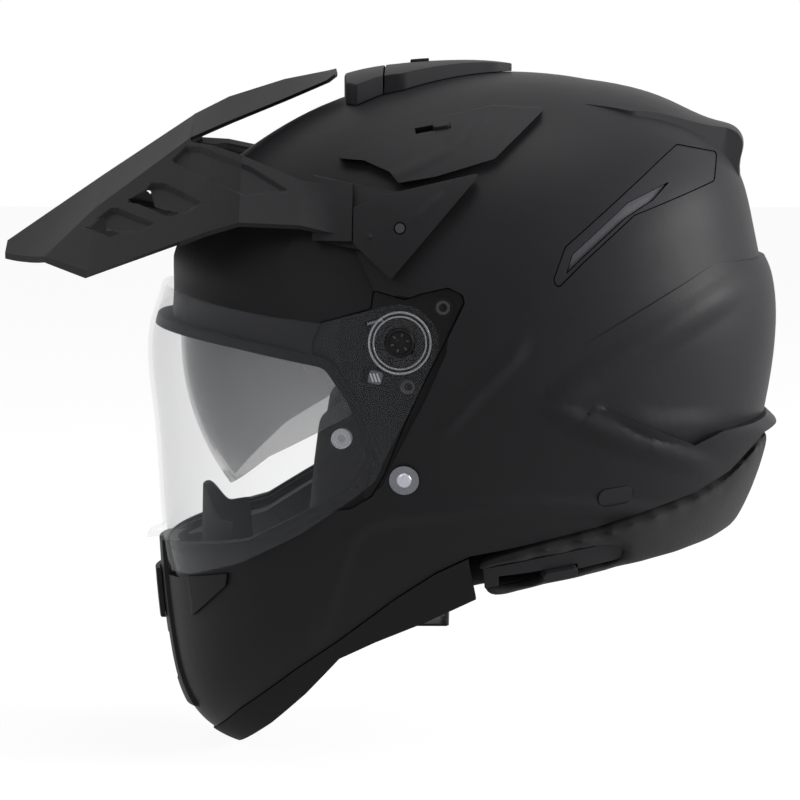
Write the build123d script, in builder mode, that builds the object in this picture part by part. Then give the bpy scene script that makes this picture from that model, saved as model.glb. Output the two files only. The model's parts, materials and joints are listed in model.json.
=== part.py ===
from build123d import *
import math
import os

os.makedirs("parts", exist_ok=True)

# Driving sizes, in millimetres. X points to the wearer's left, Y to the back, Z up.
# The origin is on the middle plane, on the axis that the clear visor turns about.
shell_half_width = 127.0
shell_rear_reach = 178.5
shell_front_reach = 118.5
crown_height = 121.0
chin_drop = 206.5
widest_back = 25.0
shell_wall = 3.5
seam = 0.3
running_fit = 0.06
foam_depth = 32.0
liner_depth = 8.0
overrun = 40.0

# The outer form: each row is a place in the side view, as shares of the reach to the
# front or back and of the height above or below the pivot, and how full the cross
# section is there.
shell_shares = [
    (-0.945, 0.231, 2.10), (-0.895, 0.446, 2.10), (-0.675, 0.674, 2.15), (-0.287, 0.893, 2.20),
    (0.112, 0.996, 2.20), (0.420, 0.996, 2.25), (0.717, 0.868, 2.30), (0.896, 0.645, 2.30),
    (0.947, 0.397, 2.30), (0.980, 0.124, 2.30), (0.975, -0.121, 2.30), (0.885, -0.412, 2.30),
    (0.616, -0.678, 2.20), (0.224, -0.881, 2.10), (-0.253, -0.978, 1.95), (-0.633, -1.000, 1.85),
    (-0.844, -0.935, 1.80), (-0.962, -0.751, 1.80), (-1.000, -0.484, 1.90), (-0.996, -0.169, 2.00),
]
slice_shares = (0.0, 0.3, 0.56, 0.76, 0.9, 0.975, 0.997)


def side_point(back_share, up_share):
    """A place in the side view, from shares of the shell's reach and height."""
    back = back_share * (shell_rear_reach if back_share > 0 else shell_front_reach)
    up = up_share * (crown_height if up_share > 0 else chin_drop)
    return back, up


def side_points(shares):
    return [side_point(back_share, up_share) for back_share, up_share in shares]


def slice_points(shares, width_share, inset):
    """One slice of a form: its side outline, drawn in towards the widest point."""
    points = []
    for back_share, up_share, fullness in shares:
        back, up = side_point(back_share, up_share)
        reach = math.hypot(back - widest_back, up)
        closeness = (1 - width_share**fullness) ** (1 / fullness) * (reach - inset) / reach
        points.append((widest_back + (back - widest_back) * closeness, up * closeness))
    return points


def form(shares, half_width, inset):
    """A smooth closed body through slices from one side of the head to the other."""
    one_side = list(slice_shares)
    both_sides = [-share for share in reversed(one_side[1:])] + one_side
    with BuildPart() as body:
        for share in both_sides:
            with BuildSketch(Plane.YZ.offset(share * (half_width - inset))):
                with BuildLine():
                    Spline(*slice_points(shares, abs(share), inset), periodic=True)
                make_face()
        loft()
    return body.part


def side_block(points, inner, outer, rounding=0.0, grow=0.0):
    """A block with the given side view, from one distance off the middle to another."""
    with BuildPart() as block:
        with BuildSketch(Plane.YZ.offset(inner)):
            with BuildLine():
                Polyline(*points, close=True)
            make_face()
            if rounding:
                fillet(vertices(), rounding)
            if grow:
                offset(amount=grow)
        extrude(amount=outer - inner)
    return block.part


def top_block(points, bottom, top, rounding=0.0):
    """A block with the given view from above, the points as (left, back)."""
    with BuildPart() as block:
        with BuildSketch(Plane.XY.offset(bottom)):
            with BuildLine():
                Polyline(*points, close=True)
            make_face()
            if rounding:
                fillet(vertices(), rounding)
        extrude(amount=top - bottom)
    return block.part


def without(body, *tools):
    """The body with each tool cut away."""
    with BuildPart() as rest:
        add(body)
        for tool in tools:
            add(tool, mode=Mode.SUBTRACT)
    return rest.part


def within(body, *blocks):
    """The part of the body that lies in every block."""
    with BuildPart() as rest:
        add(body)
        for block in blocks:
            add(block, mode=Mode.INTERSECT)
    return rest.part


def joined(*bodies):
    with BuildPart() as whole:
        for body in bodies:
            add(body)
    return whole.part


def right_of(body):
    """The same piece for the wearer's right."""
    with BuildPart() as other:
        add(mirror(body, about=Plane.YZ, mode=Mode.PRIVATE))
    return other.part


def write(piece, name):
    piece.label = name
    export_step(piece, f"parts/{name}.step")


def write_pair(piece, name):
    write(piece, f"{name}_left")
    write(right_of(piece), f"{name}_right")


def face_distance(body, back, up):
    """How far off the middle plane the left face of a body lies at a place."""
    hits = body.find_intersection_points(Axis((0, back, up), (1, 0, 0)))
    return max(point.X for point, normal in hits)


# The clear visor has a wider and fuller form of its own, so that it passes over the
# temples as it opens.
visor_half_width = 123.5
visor_wall = 2.2
visor_air = 0.8
visor_open = 33.0
visor_shares = [
    (-0.987, 0.182, 2.45), (-0.844, 0.496, 2.45), (-0.287, 0.893, 2.45), (0.112, 0.996, 2.45),
    (0.420, 0.996, 2.45), (0.896, 0.661, 2.45), (0.997, 0.000, 2.45), (0.896, -0.412, 2.45),
    (0.616, -0.678, 2.45), (0.224, -0.881, 2.45), (-0.422, -0.920, 2.45), (-0.802, -0.799, 2.45),
    (-0.945, -0.630, 2.45), (-0.996, -0.460, 2.45), (-1.024, -0.218, 2.45), (-1.034, 0.033, 2.45),
]
visor_side_shares = [
    (-1.097, 0.190), (-0.987, 0.176), (-0.696, 0.116), (-0.506, 0.087), (-0.308, 0.067),
    (-0.110, 0.122), (0.000, 0.146), (0.044, 0.131), (0.082, 0.083), (0.100, 0.022),
    (0.097, -0.017), (0.044, -0.120), (-0.057, -0.258), (-0.096, -0.308), (-0.169, -0.344),
    (-0.388, -0.434), (-0.639, -0.512), (-0.857, -0.557), (-1.097, -0.576),
]
recess_shares = [
    (-0.308, 0.074), (-0.115, 0.126), (-0.104, 0.200), (0.012, 0.165), (0.056, 0.188), (0.123, 0.210), (0.161, 0.182),
    (0.166, 0.150), (0.108, -0.017), (0.056, -0.104), (0.006, -0.200), (-0.057, -0.296),
    (-0.108, -0.346), (-0.193, -0.376), (-0.338, -0.387), (-0.338, 0.000),
]
base_plate_wall = 1.9
base_plate_gap = 0.8
recess_floor = visor_wall + base_plate_gap + base_plate_wall + seam
recess_rounding = 2.0
visor_margin = 4.0

visor_side = side_points(visor_side_shares)
visor_solids = {
    inset: form(visor_shares, visor_half_width, inset)
    for inset in (0.0, visor_wall, visor_wall + base_plate_gap, recess_floor - seam)
}

# The extractor recess at the back of each side.
extractor_depth = 5.0
extractor_shares = [
    (0.3980, 0.195), (0.3900, 0.240), (0.4200, 0.360), (0.6720, 0.680), (0.7200, 0.735),
    (0.8350, 0.700), (0.8200, 0.590), (0.6000, 0.470), (0.4700, 0.300),
]


def sweep_profile(inset):
    """How far out the shell may reach at each distance from the visor's pivot."""
    distance_shares = (0.0, 0.3, 0.5, 0.65, 0.78, 0.88, 0.95, 0.985)
    top_back, top_up = visor_side[1]
    top_angle = math.atan2(top_up, -top_back)
    rim_distance = math.hypot(top_back, top_up) - visor_wall - visor_air
    profile = []
    for distance_share in distance_shares:
        distance = distance_share * rim_distance
        back = -distance * math.cos(top_angle)
        up = distance * math.sin(top_angle)
        width = face_distance(visor_solids[visor_wall], back, up) - visor_air - inset
        profile.append((width, distance_share * (rim_distance - inset)))
    profile.append((0, rim_distance - inset))
    return profile


def sweep_tool(inset):
    """What the visor's travel takes from the brow and the temples."""
    profile = sweep_profile(inset)
    far = shell_rear_reach + overrun
    wide = shell_half_width + overrun
    first_angle = -4.0
    last_angle = visor_open + 31.0
    with BuildPart() as tool:
        with BuildSketch(Plane.XY):
            with BuildLine():
                Spline(*profile)
                Polyline(profile[-1], (0, far), (wide, far), (wide, 0), profile[0])
            make_face()
        revolve(axis=Axis.X, revolution_arc=last_angle - first_angle)
    turned = tool.part.rotate(Axis.X, 180 - last_angle)
    return joined(turned, right_of(turned))


def both_sides(tool):
    return joined(tool, right_of(tool))


far_side = shell_half_width + overrun


def head_form(inset, *raised):
    """The shell's form at a depth, with the places where visor and vents sit let in."""
    floor = form(visor_shares, visor_half_width, recess_floor + inset)
    seat = form(visor_shares, visor_half_width, visor_wall + visor_air + inset)
    vent_floor = form(shell_shares, shell_half_width, extractor_depth + inset)
    recess = side_block(side_points(recess_shares), 0, far_side, recess_rounding, inset)
    visor_room = side_block(visor_side, -far_side, far_side, 0, visor_margin + inset)
    vent = side_block(side_points(extractor_shares), 0, far_side, recess_rounding, inset)
    return without(
        joined(form(shell_shares, shell_half_width, inset), *raised),
        sweep_tool(inset),
        both_sides(without(recess, floor)),
        without(visor_room, seat),
        both_sides(without(vent, vent_floor)),
    )


# Raised shapes at the back: the spoiler, the tail wedge and the flared skirt.
spoiler_shares = shell_shares[:6] + [
    (0.717, 0.905, 2.30), (0.852, 0.820, 2.30), (0.905, 0.790, 2.30), (0.921, 0.752, 2.30),
    (0.915, 0.669, 2.30), (0.918, 0.570, 2.30), (0.947, 0.397, 2.30),
] + shell_shares[9:]
tail_shares = shell_shares[:8] + [
    (0.962, 0.330, 2.30), (0.988, 0.258, 2.30), (1.009, 0.130, 2.30), (1.012, 0.010, 2.30),
    (0.992, -0.150, 2.30), (0.900, -0.412, 2.30),
] + shell_shares[12:]
skirt_shares = shell_shares[:10] + [
    (0.972, -0.120, 2.30), (0.980, -0.190, 2.30), (1.018, -0.225, 2.30), (1.005, -0.300, 2.30),
    (0.930, -0.412, 2.30),
] + shell_shares[12:]
spoiler_plan_shares = [(0.50, 0.30), (0.47, 0.60), (0.25, 0.86), (0.17, 1.00)]
tail_block_shares = [
    (0.314, -0.082), (0.549, 0.058), (0.818, 0.281), (1.100, 0.281), (1.100, -0.291),
    (0.936, -0.295), (0.762, -0.242), (0.499, -0.140),
]
skirt_block_shares = [
    (0.499, -0.140), (0.762, -0.242), (0.840, -0.213), (1.120, -0.184), (1.120, -0.600),
    (0.340, -0.600), (0.340, -0.300),
]
raised_inset = 0.4
spoiler_inset = 0.9

rim_shares = [
    (-1.181, -1.186), (-0.793, -0.964), (-0.658, -0.881), (-0.422, -0.765), (-0.245, -0.688),
    (-0.025, -0.586), (0.090, -0.523), (0.179, -0.484), (0.297, -0.465), (0.504, -0.424),
    (0.633, -0.390), (0.768, -0.354), (0.863, -0.310), (0.958, -0.230), (1.140, -0.194),
]
eyeport_shares = [
    (-1.300, 0.070), (-0.650, -0.015), (-0.287, -0.053), (-0.186, -0.136), (-0.118, -0.252),
    (-0.160, -0.324), (-0.599, -0.465), (-1.300, -0.545),
]
eyeport_rounding = 9.0


def below_rim(drop, inner=-far_side, outer=far_side):
    """Everything under the shell's lower edge, or under a line a little below it."""
    floor = -chin_drop - overrun
    edge = [(back, up - drop) for back, up in side_points(rim_shares)]
    ends = [(edge[-1][0] + overrun, edge[-1][1]), (edge[-1][0] + overrun, floor - overrun)]
    return side_block(edge + ends + [(edge[0][0], floor - overrun)], inner, outer)


def front_block(points, front, back, rounding=0.0):
    """A block with the given front view, the points as (left, up)."""
    with BuildPart() as block:
        with BuildSketch(Plane.XZ.offset(-back)):
            with BuildLine():
                Polyline(*points, close=True)
            make_face()
            if rounding:
                fillet(vertices(), rounding)
        extrude(amount=back - front)
    return block.part


def mirrored_outline(points):
    """A closed outline from its left half, from one end on the middle line to the other."""
    return points + [(-left, other) for left, other in reversed(points)]


eyeport = side_block(side_points(eyeport_shares), -far_side, far_side, eyeport_rounding)
spoiler_plan = mirrored_outline(
    [(wide * shell_half_width, back * shell_rear_reach) for wide, back in spoiler_plan_shares]
)
spoiler = within(
    form(spoiler_shares, shell_half_width, spoiler_inset),
    top_block(spoiler_plan, 0.5 * crown_height, crown_height + overrun),
)
tail = within(
    form(tail_shares, shell_half_width, raised_inset),
    side_block(side_points(tail_block_shares), -far_side, far_side),
)
skirt = within(
    form(skirt_shares, shell_half_width, raised_inset),
    side_block(side_points(skirt_block_shares), -far_side, far_side),
)
shell_outside = head_form(0, spoiler, tail, skirt)
shell_inside = head_form(shell_wall)
foam_outside = head_form(shell_wall + seam)

# The chin insert's opening, with sizes in the front view.
chin_insert_half = 22.0
chin_insert_top_share = -0.505
chin_insert_bottom_share = -0.900
chin_insert_opening = front_block(
    [
        (-chin_insert_half - seam, chin_drop * chin_insert_top_share + overrun),
        (chin_insert_half + seam, chin_drop * chin_insert_top_share + overrun),
        (chin_insert_half + seam, chin_drop * chin_insert_bottom_share - seam),
        (-chin_insert_half - seam, chin_drop * chin_insert_bottom_share - seam),
    ],
    -shell_front_reach - overrun,
    -0.5 * shell_front_reach,
)


def face_plane(body, back, up, along=(0, 1, 0)):
    """A plane on a body's left face, its X axis as near as can be to the given way."""
    hits = body.find_intersection_points(Axis((0, back, up), (1, 0, 0)))
    point, normal = max(hits, key=lambda hit: hit[0].X)
    normal = normal if normal.X > 0 else normal * -1
    way = Vector(*along)
    return Plane(origin=point, x_dir=way - normal * way.dot(normal), z_dir=normal)


def disc(plane, radius, low, high):
    """A round piece standing on a plane, from one height to another."""
    with BuildPart() as piece:
        with BuildSketch(plane.offset(low)):
            Circle(radius)
        extrude(amount=high - low)
    return piece.part


def bar(plane, length, width, low, high, rounding=0.0, start=0.0):
    """A straight bar on a plane, along its X axis, its middle at the start."""
    with BuildPart() as piece:
        with BuildSketch(plane.offset(low)):
            with Locations((start, 0)):
                if rounding:
                    RectangleRounded(length, width, rounding)
                else:
                    Rectangle(length, width)
        extrude(amount=high - low)
    return piece.part


def layer(outer_inset, inner_inset, *blocks):
    """The part of the shell's form between two depths that lies in every block."""
    cover = within(form(shell_shares, shell_half_width, outer_inset), *blocks)
    return without(cover, form(shell_shares, shell_half_width, inner_inset))


# Screws that hold the base plates, and the pivot hub, as places in the side view.
hub_radius = 6.8
hub_proud = 2.6
ring_radius = 14.6
ring_proud = 1.6
plate_screw_shares = [(0.110, 0.131), (0.0185, -0.100)]
plate_screw_radius = 1.5
plate_screw_head = 3.4
plate_screw_head_height = 1.5
plate_screw_length = 5.0
plate_boss_radius = 4.9
plate_boss_height = 1.6
plate_solid = visor_solids[visor_wall + base_plate_gap]
plate_floor = visor_solids[recess_floor - seam]
plate_planes = [face_plane(plate_solid, *side_point(*share)) for share in plate_screw_shares]
plate_screw_tops = [plate_boss_height, -seam]

# The strap is riveted through the shell on each side.
rivet_shares = (0.011, -0.305)
rivet_radius = 7.0
rivet_height = 1.6
rivet_shank = 2.5
rivet_plane = face_plane(form(shell_shares, shell_half_width, 0), *side_point(*rivet_shares))

# The oval side plug.
plug_shares = (0.555, -0.350)
plug_length = 17.5
plug_width = 9.3
plug_depth = 1.4
plug_plane = face_plane(form(shell_shares, shell_half_width, 0), *side_point(*plug_shares))

# The peak turns about a screw through the shell on each side.
peak_pivot_shares = (0.0, 0.430)
peak_screw_radius = 1.6
peak_screw_head = 2.2
peak_screw_head_height = 2.0
peak_tilt = 3.0
peak_pivot = side_point(*peak_pivot_shares)
peak_x = face_distance(form(shell_shares, shell_half_width, 0), *peak_pivot)


def along_x(back, up, radius, inner, outer):
    """A round bar across the helmet, from one distance off the middle to another."""
    with BuildPart() as piece:
        with BuildSketch(Plane.YZ.offset(inner)):
            with Locations((back, up)):
                Circle(radius)
        extrude(amount=outer - inner)
    return piece.part


plate_screw_holes = joined(
    *[disc(plane, plate_screw_radius + running_fit, -overrun, overrun) for plane in plate_planes]
)
rivet_hole = disc(rivet_plane, rivet_shank + running_fit, -overrun, overrun)
plug_seat = bar(
    plug_plane, plug_length + seam, plug_width + seam, -plug_depth, overrun, 0.5 * plug_width
)
peak_screw_hole = along_x(*peak_pivot, peak_screw_radius + running_fit, 0, far_side)

with BuildPart() as outer_shell:
    add(shell_outside)
    add(shell_inside, mode=Mode.SUBTRACT)
    add(below_rim(0), mode=Mode.SUBTRACT)
    add(eyeport, mode=Mode.SUBTRACT)
    add(chin_insert_opening, mode=Mode.SUBTRACT)
    add(both_sides(plate_screw_holes), mode=Mode.SUBTRACT)
    add(both_sides(rivet_hole), mode=Mode.SUBTRACT)
    add(both_sides(plug_seat), mode=Mode.SUBTRACT)
    add(both_sides(peak_screw_hole), mode=Mode.SUBTRACT)
write(outer_shell.part, "outer_shell")

# The clear visor, with its lift tab and the notch that clears the chin insert.
tab_half = 12.0
tab_reach = 7.5
tab_height = 2.2
visor_foot_share = -0.500
visor_foot = visor_foot_share * chin_drop
visor_front = side_point(-0.993, visor_foot_share)[0]
visor_block = side_block(visor_side, -far_side, far_side)
foot_half = chin_insert_half + visor_air
visor_foot_notch = front_block(
    [
        (-foot_half, visor_foot),
        (foot_half, visor_foot),
        (foot_half + visor_margin, visor_foot - overrun),
        (-foot_half - visor_margin, visor_foot - overrun),
    ],
    -shell_front_reach - overrun,
    0,
)
tab_side = [
    (visor_front + 0.5 * visor_wall, visor_foot),
    (visor_front - tab_reach, visor_foot - 0.5 * tab_height),
    (visor_front - tab_reach, visor_foot + 0.5 * tab_height),
    (visor_front + 0.5 * visor_wall, visor_foot + 2 * tab_height),
]
pin_shares = (-0.227, -0.215)
pin_radius = 4.6
pin_shank = 2.0
pin_proud = 1.1
pin_plane = face_plane(visor_solids[0.0], *side_point(*pin_shares))
pin_hole = disc(pin_plane, pin_shank + running_fit, -2 * visor_wall, visor_wall)
hub_hole = along_x(0, 0, hub_radius + running_fit, 0, far_side)

with BuildPart() as visor_lens:
    add(visor_solids[0.0])
    add(visor_solids[visor_wall], mode=Mode.SUBTRACT)
    add(visor_block, mode=Mode.INTERSECT)
    add(visor_foot_notch, mode=Mode.SUBTRACT)
    add(side_block(tab_side, -tab_half, tab_half))
    add(both_sides(pin_hole), mode=Mode.SUBTRACT)
    add(both_sides(hub_hole), mode=Mode.SUBTRACT)
write(visor_lens.part, "visor_lens")

pin = joined(
    disc(pin_plane, pin_radius, 0.5 * seam, pin_proud),
    disc(pin_plane, pin_shank, -visor_wall - 0.5 * seam, 0.5 * seam),
    disc(pin_plane, pin_radius, -visor_wall - pin_proud, -visor_wall - 0.5 * seam),
)
write(both_sides(pin), "insert_pins")

ring_x = face_distance(visor_solids[0.0], 0, 0)
with BuildPart() as visor_ring:
    add(along_x(0, 0, ring_radius, ring_x - overrun, ring_x + ring_proud))
    add(visor_solids[0.0], mode=Mode.SUBTRACT)
    add(along_x(0, 0, hub_radius + running_fit, 0, far_side), mode=Mode.SUBTRACT)
write_pair(visor_ring.part, "visor_ring")

# Rubber seal around the eyeport, between the shell and the closed visor.
gasket_overlap = 3.0
gasket_lip = 1.5
gasket_outline = side_points(eyeport_shares)
gasket_outer = side_block(gasket_outline, -far_side, far_side, eyeport_rounding, gasket_overlap)
gasket_inner = side_block(gasket_outline, -far_side, far_side, eyeport_rounding, -gasket_lip)
gasket_notch = front_block(
    [
        (-chin_insert_half - seam, chin_drop * chin_insert_top_share + seam),
        (chin_insert_half + seam, chin_drop * chin_insert_top_share + seam),
        (chin_insert_half + seam, chin_drop * chin_insert_bottom_share),
        (-chin_insert_half - seam, chin_drop * chin_insert_bottom_share),
    ],
    -shell_front_reach - overrun,
    -0.5 * shell_front_reach,
)
with BuildPart() as eyeport_gasket:
    add(form(visor_shares, visor_half_width, visor_wall + seam))
    add(shell_outside, mode=Mode.SUBTRACT)
    add(gasket_outer, mode=Mode.INTERSECT)
    add(gasket_inner, mode=Mode.SUBTRACT)
    add(gasket_notch, mode=Mode.SUBTRACT)
write(eyeport_gasket.part, "eyeport_gasket")

# Base plates in the side recesses, with the hub, the release latch and its spring.
plate_front = -0.245 * shell_front_reach
latch_shares = (-0.096, -0.079)
latch_length = 6.2
latch_width = 5.8
latch_travel = 3.0
latch_rounding = 1.2
latch_plane = face_plane(plate_solid, *side_point(*latch_shares), (0, -1, 0.2))
spring_shares = (-0.098, 0.0755)
spring_length = 8.7
spring_radius = 1.0
spring_plane = face_plane(plate_solid, *side_point(*spring_shares), (0, 1, 0.3))
plate_block = side_block(
    side_points(recess_shares), 0, far_side, recess_rounding, -base_plate_gap
)
plate_trim = side_block(
    [(plate_front, 0), (0, far_side), (far_side, far_side), (far_side, -far_side), (0, -far_side)],
    0,
    far_side,
)
spring_groove = bar(
    spring_plane,
    spring_length + 2 * seam,
    2 * (spring_radius + seam),
    -2 * spring_radius - 2 * seam,
    overrun,
)
latch_slot = bar(
    latch_plane,
    latch_length + latch_travel + 2 * seam,
    latch_width + 2 * seam,
    -overrun,
    overrun,
    start=0.5 * latch_travel,
)
plate_boss = disc(
    plate_planes[0], plate_boss_radius, -base_plate_wall + seam, plate_boss_height
)
with BuildPart() as visor_base_plate:
    add(plate_solid)
    add(plate_floor, mode=Mode.SUBTRACT)
    add(plate_block, mode=Mode.INTERSECT)
    add(plate_trim, mode=Mode.INTERSECT)
    add(side_block(gasket_outline, 0, far_side, eyeport_rounding, gasket_overlap + seam),
        mode=Mode.SUBTRACT)
    add(plate_boss)
    add(hub_hole, mode=Mode.SUBTRACT)
    add(plate_screw_holes, mode=Mode.SUBTRACT)
    for plane, top in zip(plate_planes, plate_screw_tops):
        head_seat = disc(
            plane, plate_screw_head + running_fit, top - plate_screw_head_height, overrun
        )
        add(head_seat, mode=Mode.SUBTRACT)
    add(spring_groove, mode=Mode.SUBTRACT)
    add(latch_slot, mode=Mode.SUBTRACT)
write_pair(visor_base_plate.part, "visor_base_plate")

plate_screws = [
    joined(
        disc(plane, plate_screw_head, top - plate_screw_head_height, top),
        disc(plane, plate_screw_radius, top - plate_screw_length, top - plate_screw_head_height),
    )
    for plane, top in zip(plate_planes, plate_screw_tops)
]
write(both_sides(joined(*plate_screws)), "base_plate_screws")

hub_foot = face_distance(plate_floor, 0, 0)
pivot_hub = along_x(0, 0, hub_radius, hub_foot, ring_x + hub_proud)
write_pair(pivot_hub, "pivot_hub")

latch = bar(latch_plane, latch_length, latch_width, -base_plate_wall + seam, -0.5 * seam, latch_rounding)
write_pair(latch, "visor_latch")

with BuildPart() as visor_spring:
    with BuildSketch(Plane(
        origin=spring_plane.offset(-spring_radius).origin,
        x_dir=spring_plane.y_dir,
        z_dir=spring_plane.x_dir,
    )):
        Circle(spring_radius)
    extrude(amount=0.5 * spring_length, both=True)
write_pair(visor_spring.part, "visor_spring")

# The tinted sun visor: a surface turned about its own pivots, inside the shell.
sun_pivot_back = 10.0
sun_pivot_up = -6.0
sun_reach = 118.5
sun_half_width = 108.0
sun_wall = 2.0
sun_air = 1.2
sun_fullness = 2.3
sun_pin_radius = 3.0
sun_rounding = 6.0
sun_slice_shares = (0.0, 0.3, 0.56, 0.76, 0.9, 0.975, 1.0)
sun_side_shares = [
    (-1.300, 0.075), (-0.506, 0.125), (0.030, 0.045), (0.100, 0.020), (0.104, -0.060),
    (0.056, -0.078), (-0.236, -0.184), (-0.523, -0.276), (-0.717, -0.373), (-1.300, -0.400),
]
sun_room_shares = [
    (0.160, -0.100), (0.170, 0.040), (0.090, 0.180), (-0.120, 0.560), (-0.370, 0.950),
    (-0.600, 1.200), (-1.500, 1.200), (-1.500, -0.400), (-0.200, -0.260),
]


def sun_solid(inset):
    """The body whose surface the sun visor follows, a depth further in."""
    rows = []
    for share in sun_slice_shares:
        distance = (sun_reach - inset) * (1 - share**sun_fullness) ** (1 / sun_fullness)
        rows.append((share * (sun_half_width - inset), sun_pivot_back - distance))
    profile = [(-left, back) for left, back in reversed(rows[1:])] + rows
    with BuildPart() as body:
        with BuildSketch(Plane.XY.offset(sun_pivot_up)):
            with BuildLine():
                Spline(*profile)
                Line(profile[-1], profile[0])
            make_face()
        revolve(axis=Axis((0, sun_pivot_back, sun_pivot_up), (1, 0, 0)))
    return body.part


nose_notch_shares = [(-0.24, -0.50), (0.24, -0.50), (0.13, -0.30), (-0.13, -0.30)]
nose_notch = front_block(
    [(left * sun_half_width, up * chin_drop) for left, up in nose_notch_shares],
    -sun_reach - overrun,
    0,
    rounding=recess_rounding,
)
sun_pin_hole = along_x(
    sun_pivot_back, sun_pivot_up, sun_pin_radius + running_fit, 0, far_side
)
sun_block = side_block(side_points(sun_side_shares), -far_side, far_side, sun_rounding)
with BuildPart() as sun_visor:
    add(sun_solid(0))
    add(sun_solid(sun_wall), mode=Mode.SUBTRACT)
    add(sun_block, mode=Mode.INTERSECT)
    add(nose_notch, mode=Mode.SUBTRACT)
    add(both_sides(sun_pin_hole), mode=Mode.SUBTRACT)
write(sun_visor.part, "sun_visor")

sun_pin_outer = face_distance(shell_inside, sun_pivot_back, sun_pivot_up) - 0.5 * seam
sun_pin_inner = sun_half_width - sun_wall - 0.5 * sun_air
sun_pin = joined(
    along_x(sun_pivot_back, sun_pivot_up, sun_pin_radius, sun_pin_inner, sun_pin_outer),
    along_x(sun_pivot_back, sun_pivot_up, 2 * sun_pin_radius, sun_half_width + sun_air, sun_pin_outer),
)
write(both_sides(sun_pin), "sun_visor_pins")

# The protective foam, open at the face, with room for the sun visor to fold into, for the
# straps, and for the screws that come through the shell.
foam_back = shell_wall + seam + foam_depth
foam_face_shares = [
    (-1.300, 0.090), (-0.650, 0.010), (-0.287, -0.035), (-0.150, -0.136), (-0.050, -0.400),
    (-0.020, -1.300), (-1.300, -1.300),
]
foam_rim_step = 4.0
strap_back = 8.0
strap_width = 24.0
strap_thickness = 2.4
strap_shoulder = 6.0
trim_depth = 6.0
strap_depth = trim_depth + strap_thickness
strap_foot = -0.545 * chin_drop
strap_head = -0.255 * chin_drop
screw_pocket = 6.0
strap_room = layer(
    0,
    strap_depth + 2 * strap_thickness,
    side_block(
        [
            (strap_back - 0.5 * strap_width - seam, strap_head + strap_thickness),
            (strap_back + 0.5 * strap_width + seam, strap_head + strap_thickness),
            (strap_back + 0.5 * strap_width + seam, -chin_drop),
            (strap_back - 0.5 * strap_width - seam, -chin_drop),
        ],
        0,
        far_side,
    ),
)
sun_room = without(
    side_block(side_points(sun_room_shares), -far_side, far_side, sun_rounding),
    sun_solid(sun_wall + sun_air),
)
screw_rooms = joined(
    disc(rivet_plane, screw_pocket, -3 * shell_wall, overrun),
    *[disc(plane, 0.5 * screw_pocket, -3 * shell_wall, overrun) for plane in plate_planes],
)
with BuildPart() as eps_liner:
    add(foam_outside)
    add(form(shell_shares, shell_half_width, foam_back), mode=Mode.SUBTRACT)
    add(below_rim(-foam_rim_step), mode=Mode.SUBTRACT)
    add(side_block(side_points(foam_face_shares), -far_side, far_side), mode=Mode.SUBTRACT)
    add(sun_room, mode=Mode.SUBTRACT)
    add(both_sides(strap_room), mode=Mode.SUBTRACT)
    add(both_sides(screw_rooms), mode=Mode.SUBTRACT)
write(eps_liner.part, "eps_liner")

# Foam in the chin bar.
chin_foam_depth = 20.0
chin_foam_shares = [
    (-1.300, -0.562), (-0.599, -0.485), (-0.160, -0.345), (-0.085, -0.390), (-0.118, -0.572),
    (-0.262, -0.668), (-0.440, -0.742), (-0.675, -0.858), (-0.810, -0.940), (-1.300, -1.160),
]
chin_foam_inner = shell_wall + seam + chin_foam_depth
chin_passage = front_block(
    [
        (-chin_insert_half - 2 * seam, 0),
        (chin_insert_half + 2 * seam, 0),
        (chin_insert_half + 2 * seam, chin_drop * chin_insert_bottom_share),
        (-chin_insert_half - 2 * seam, chin_drop * chin_insert_bottom_share),
    ],
    -shell_front_reach - overrun,
    0,
)
chin_foam_block = side_block(side_points(chin_foam_shares), -far_side, far_side)
chin_eps = without(
    within(foam_outside, chin_foam_block),
    form(shell_shares, shell_half_width, chin_foam_inner),
    chin_passage,
)
write(chin_eps, "chin_eps")

# Soft parts: the crown liner, the cheek pads and the neck roll.
crown_liner_shares = [
    (-1.100, 0.640), (-0.840, 0.560), (-0.340, 0.250), (0.150, 0.100), (0.700, 0.060),
    (1.200, 0.060), (1.200, 1.200), (-1.100, 1.200),
]
liner_inner = foam_back + seam + liner_depth
crown_liner = layer(
    foam_back + seam,
    liner_inner,
    side_block(side_points(crown_liner_shares), -far_side, far_side, recess_rounding),
)
write(crown_liner, "crown_liner")

cheek_depth = 22.0
cheek_draw = 8.0
cheek_rounding = 9.0
cheek_shares = [
    (-0.400, -0.150), (-0.085, -0.075), (0.168, -0.125), (0.225, -0.290), (0.168, -0.455),
    (-0.042, -0.530), (-0.295, -0.610), (-0.480, -0.540),
]


def cheek_block(points, inner, outer):
    """A block with a rounded side view whose sides draw in towards the cheek."""
    with BuildPart() as block:
        with BuildSketch(Plane.YZ.offset(outer)):
            with BuildLine():
                Polyline(*points, close=True)
            make_face()
            fillet(vertices(), cheek_rounding)
        extrude(amount=inner - outer, taper=cheek_draw)
    return block.part


cheek_pad = layer(
    foam_back + seam,
    foam_back + seam + cheek_depth,
    cheek_block(side_points(cheek_shares), 0, shell_half_width),
)
write_pair(cheek_pad, "cheek_pad")

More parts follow.
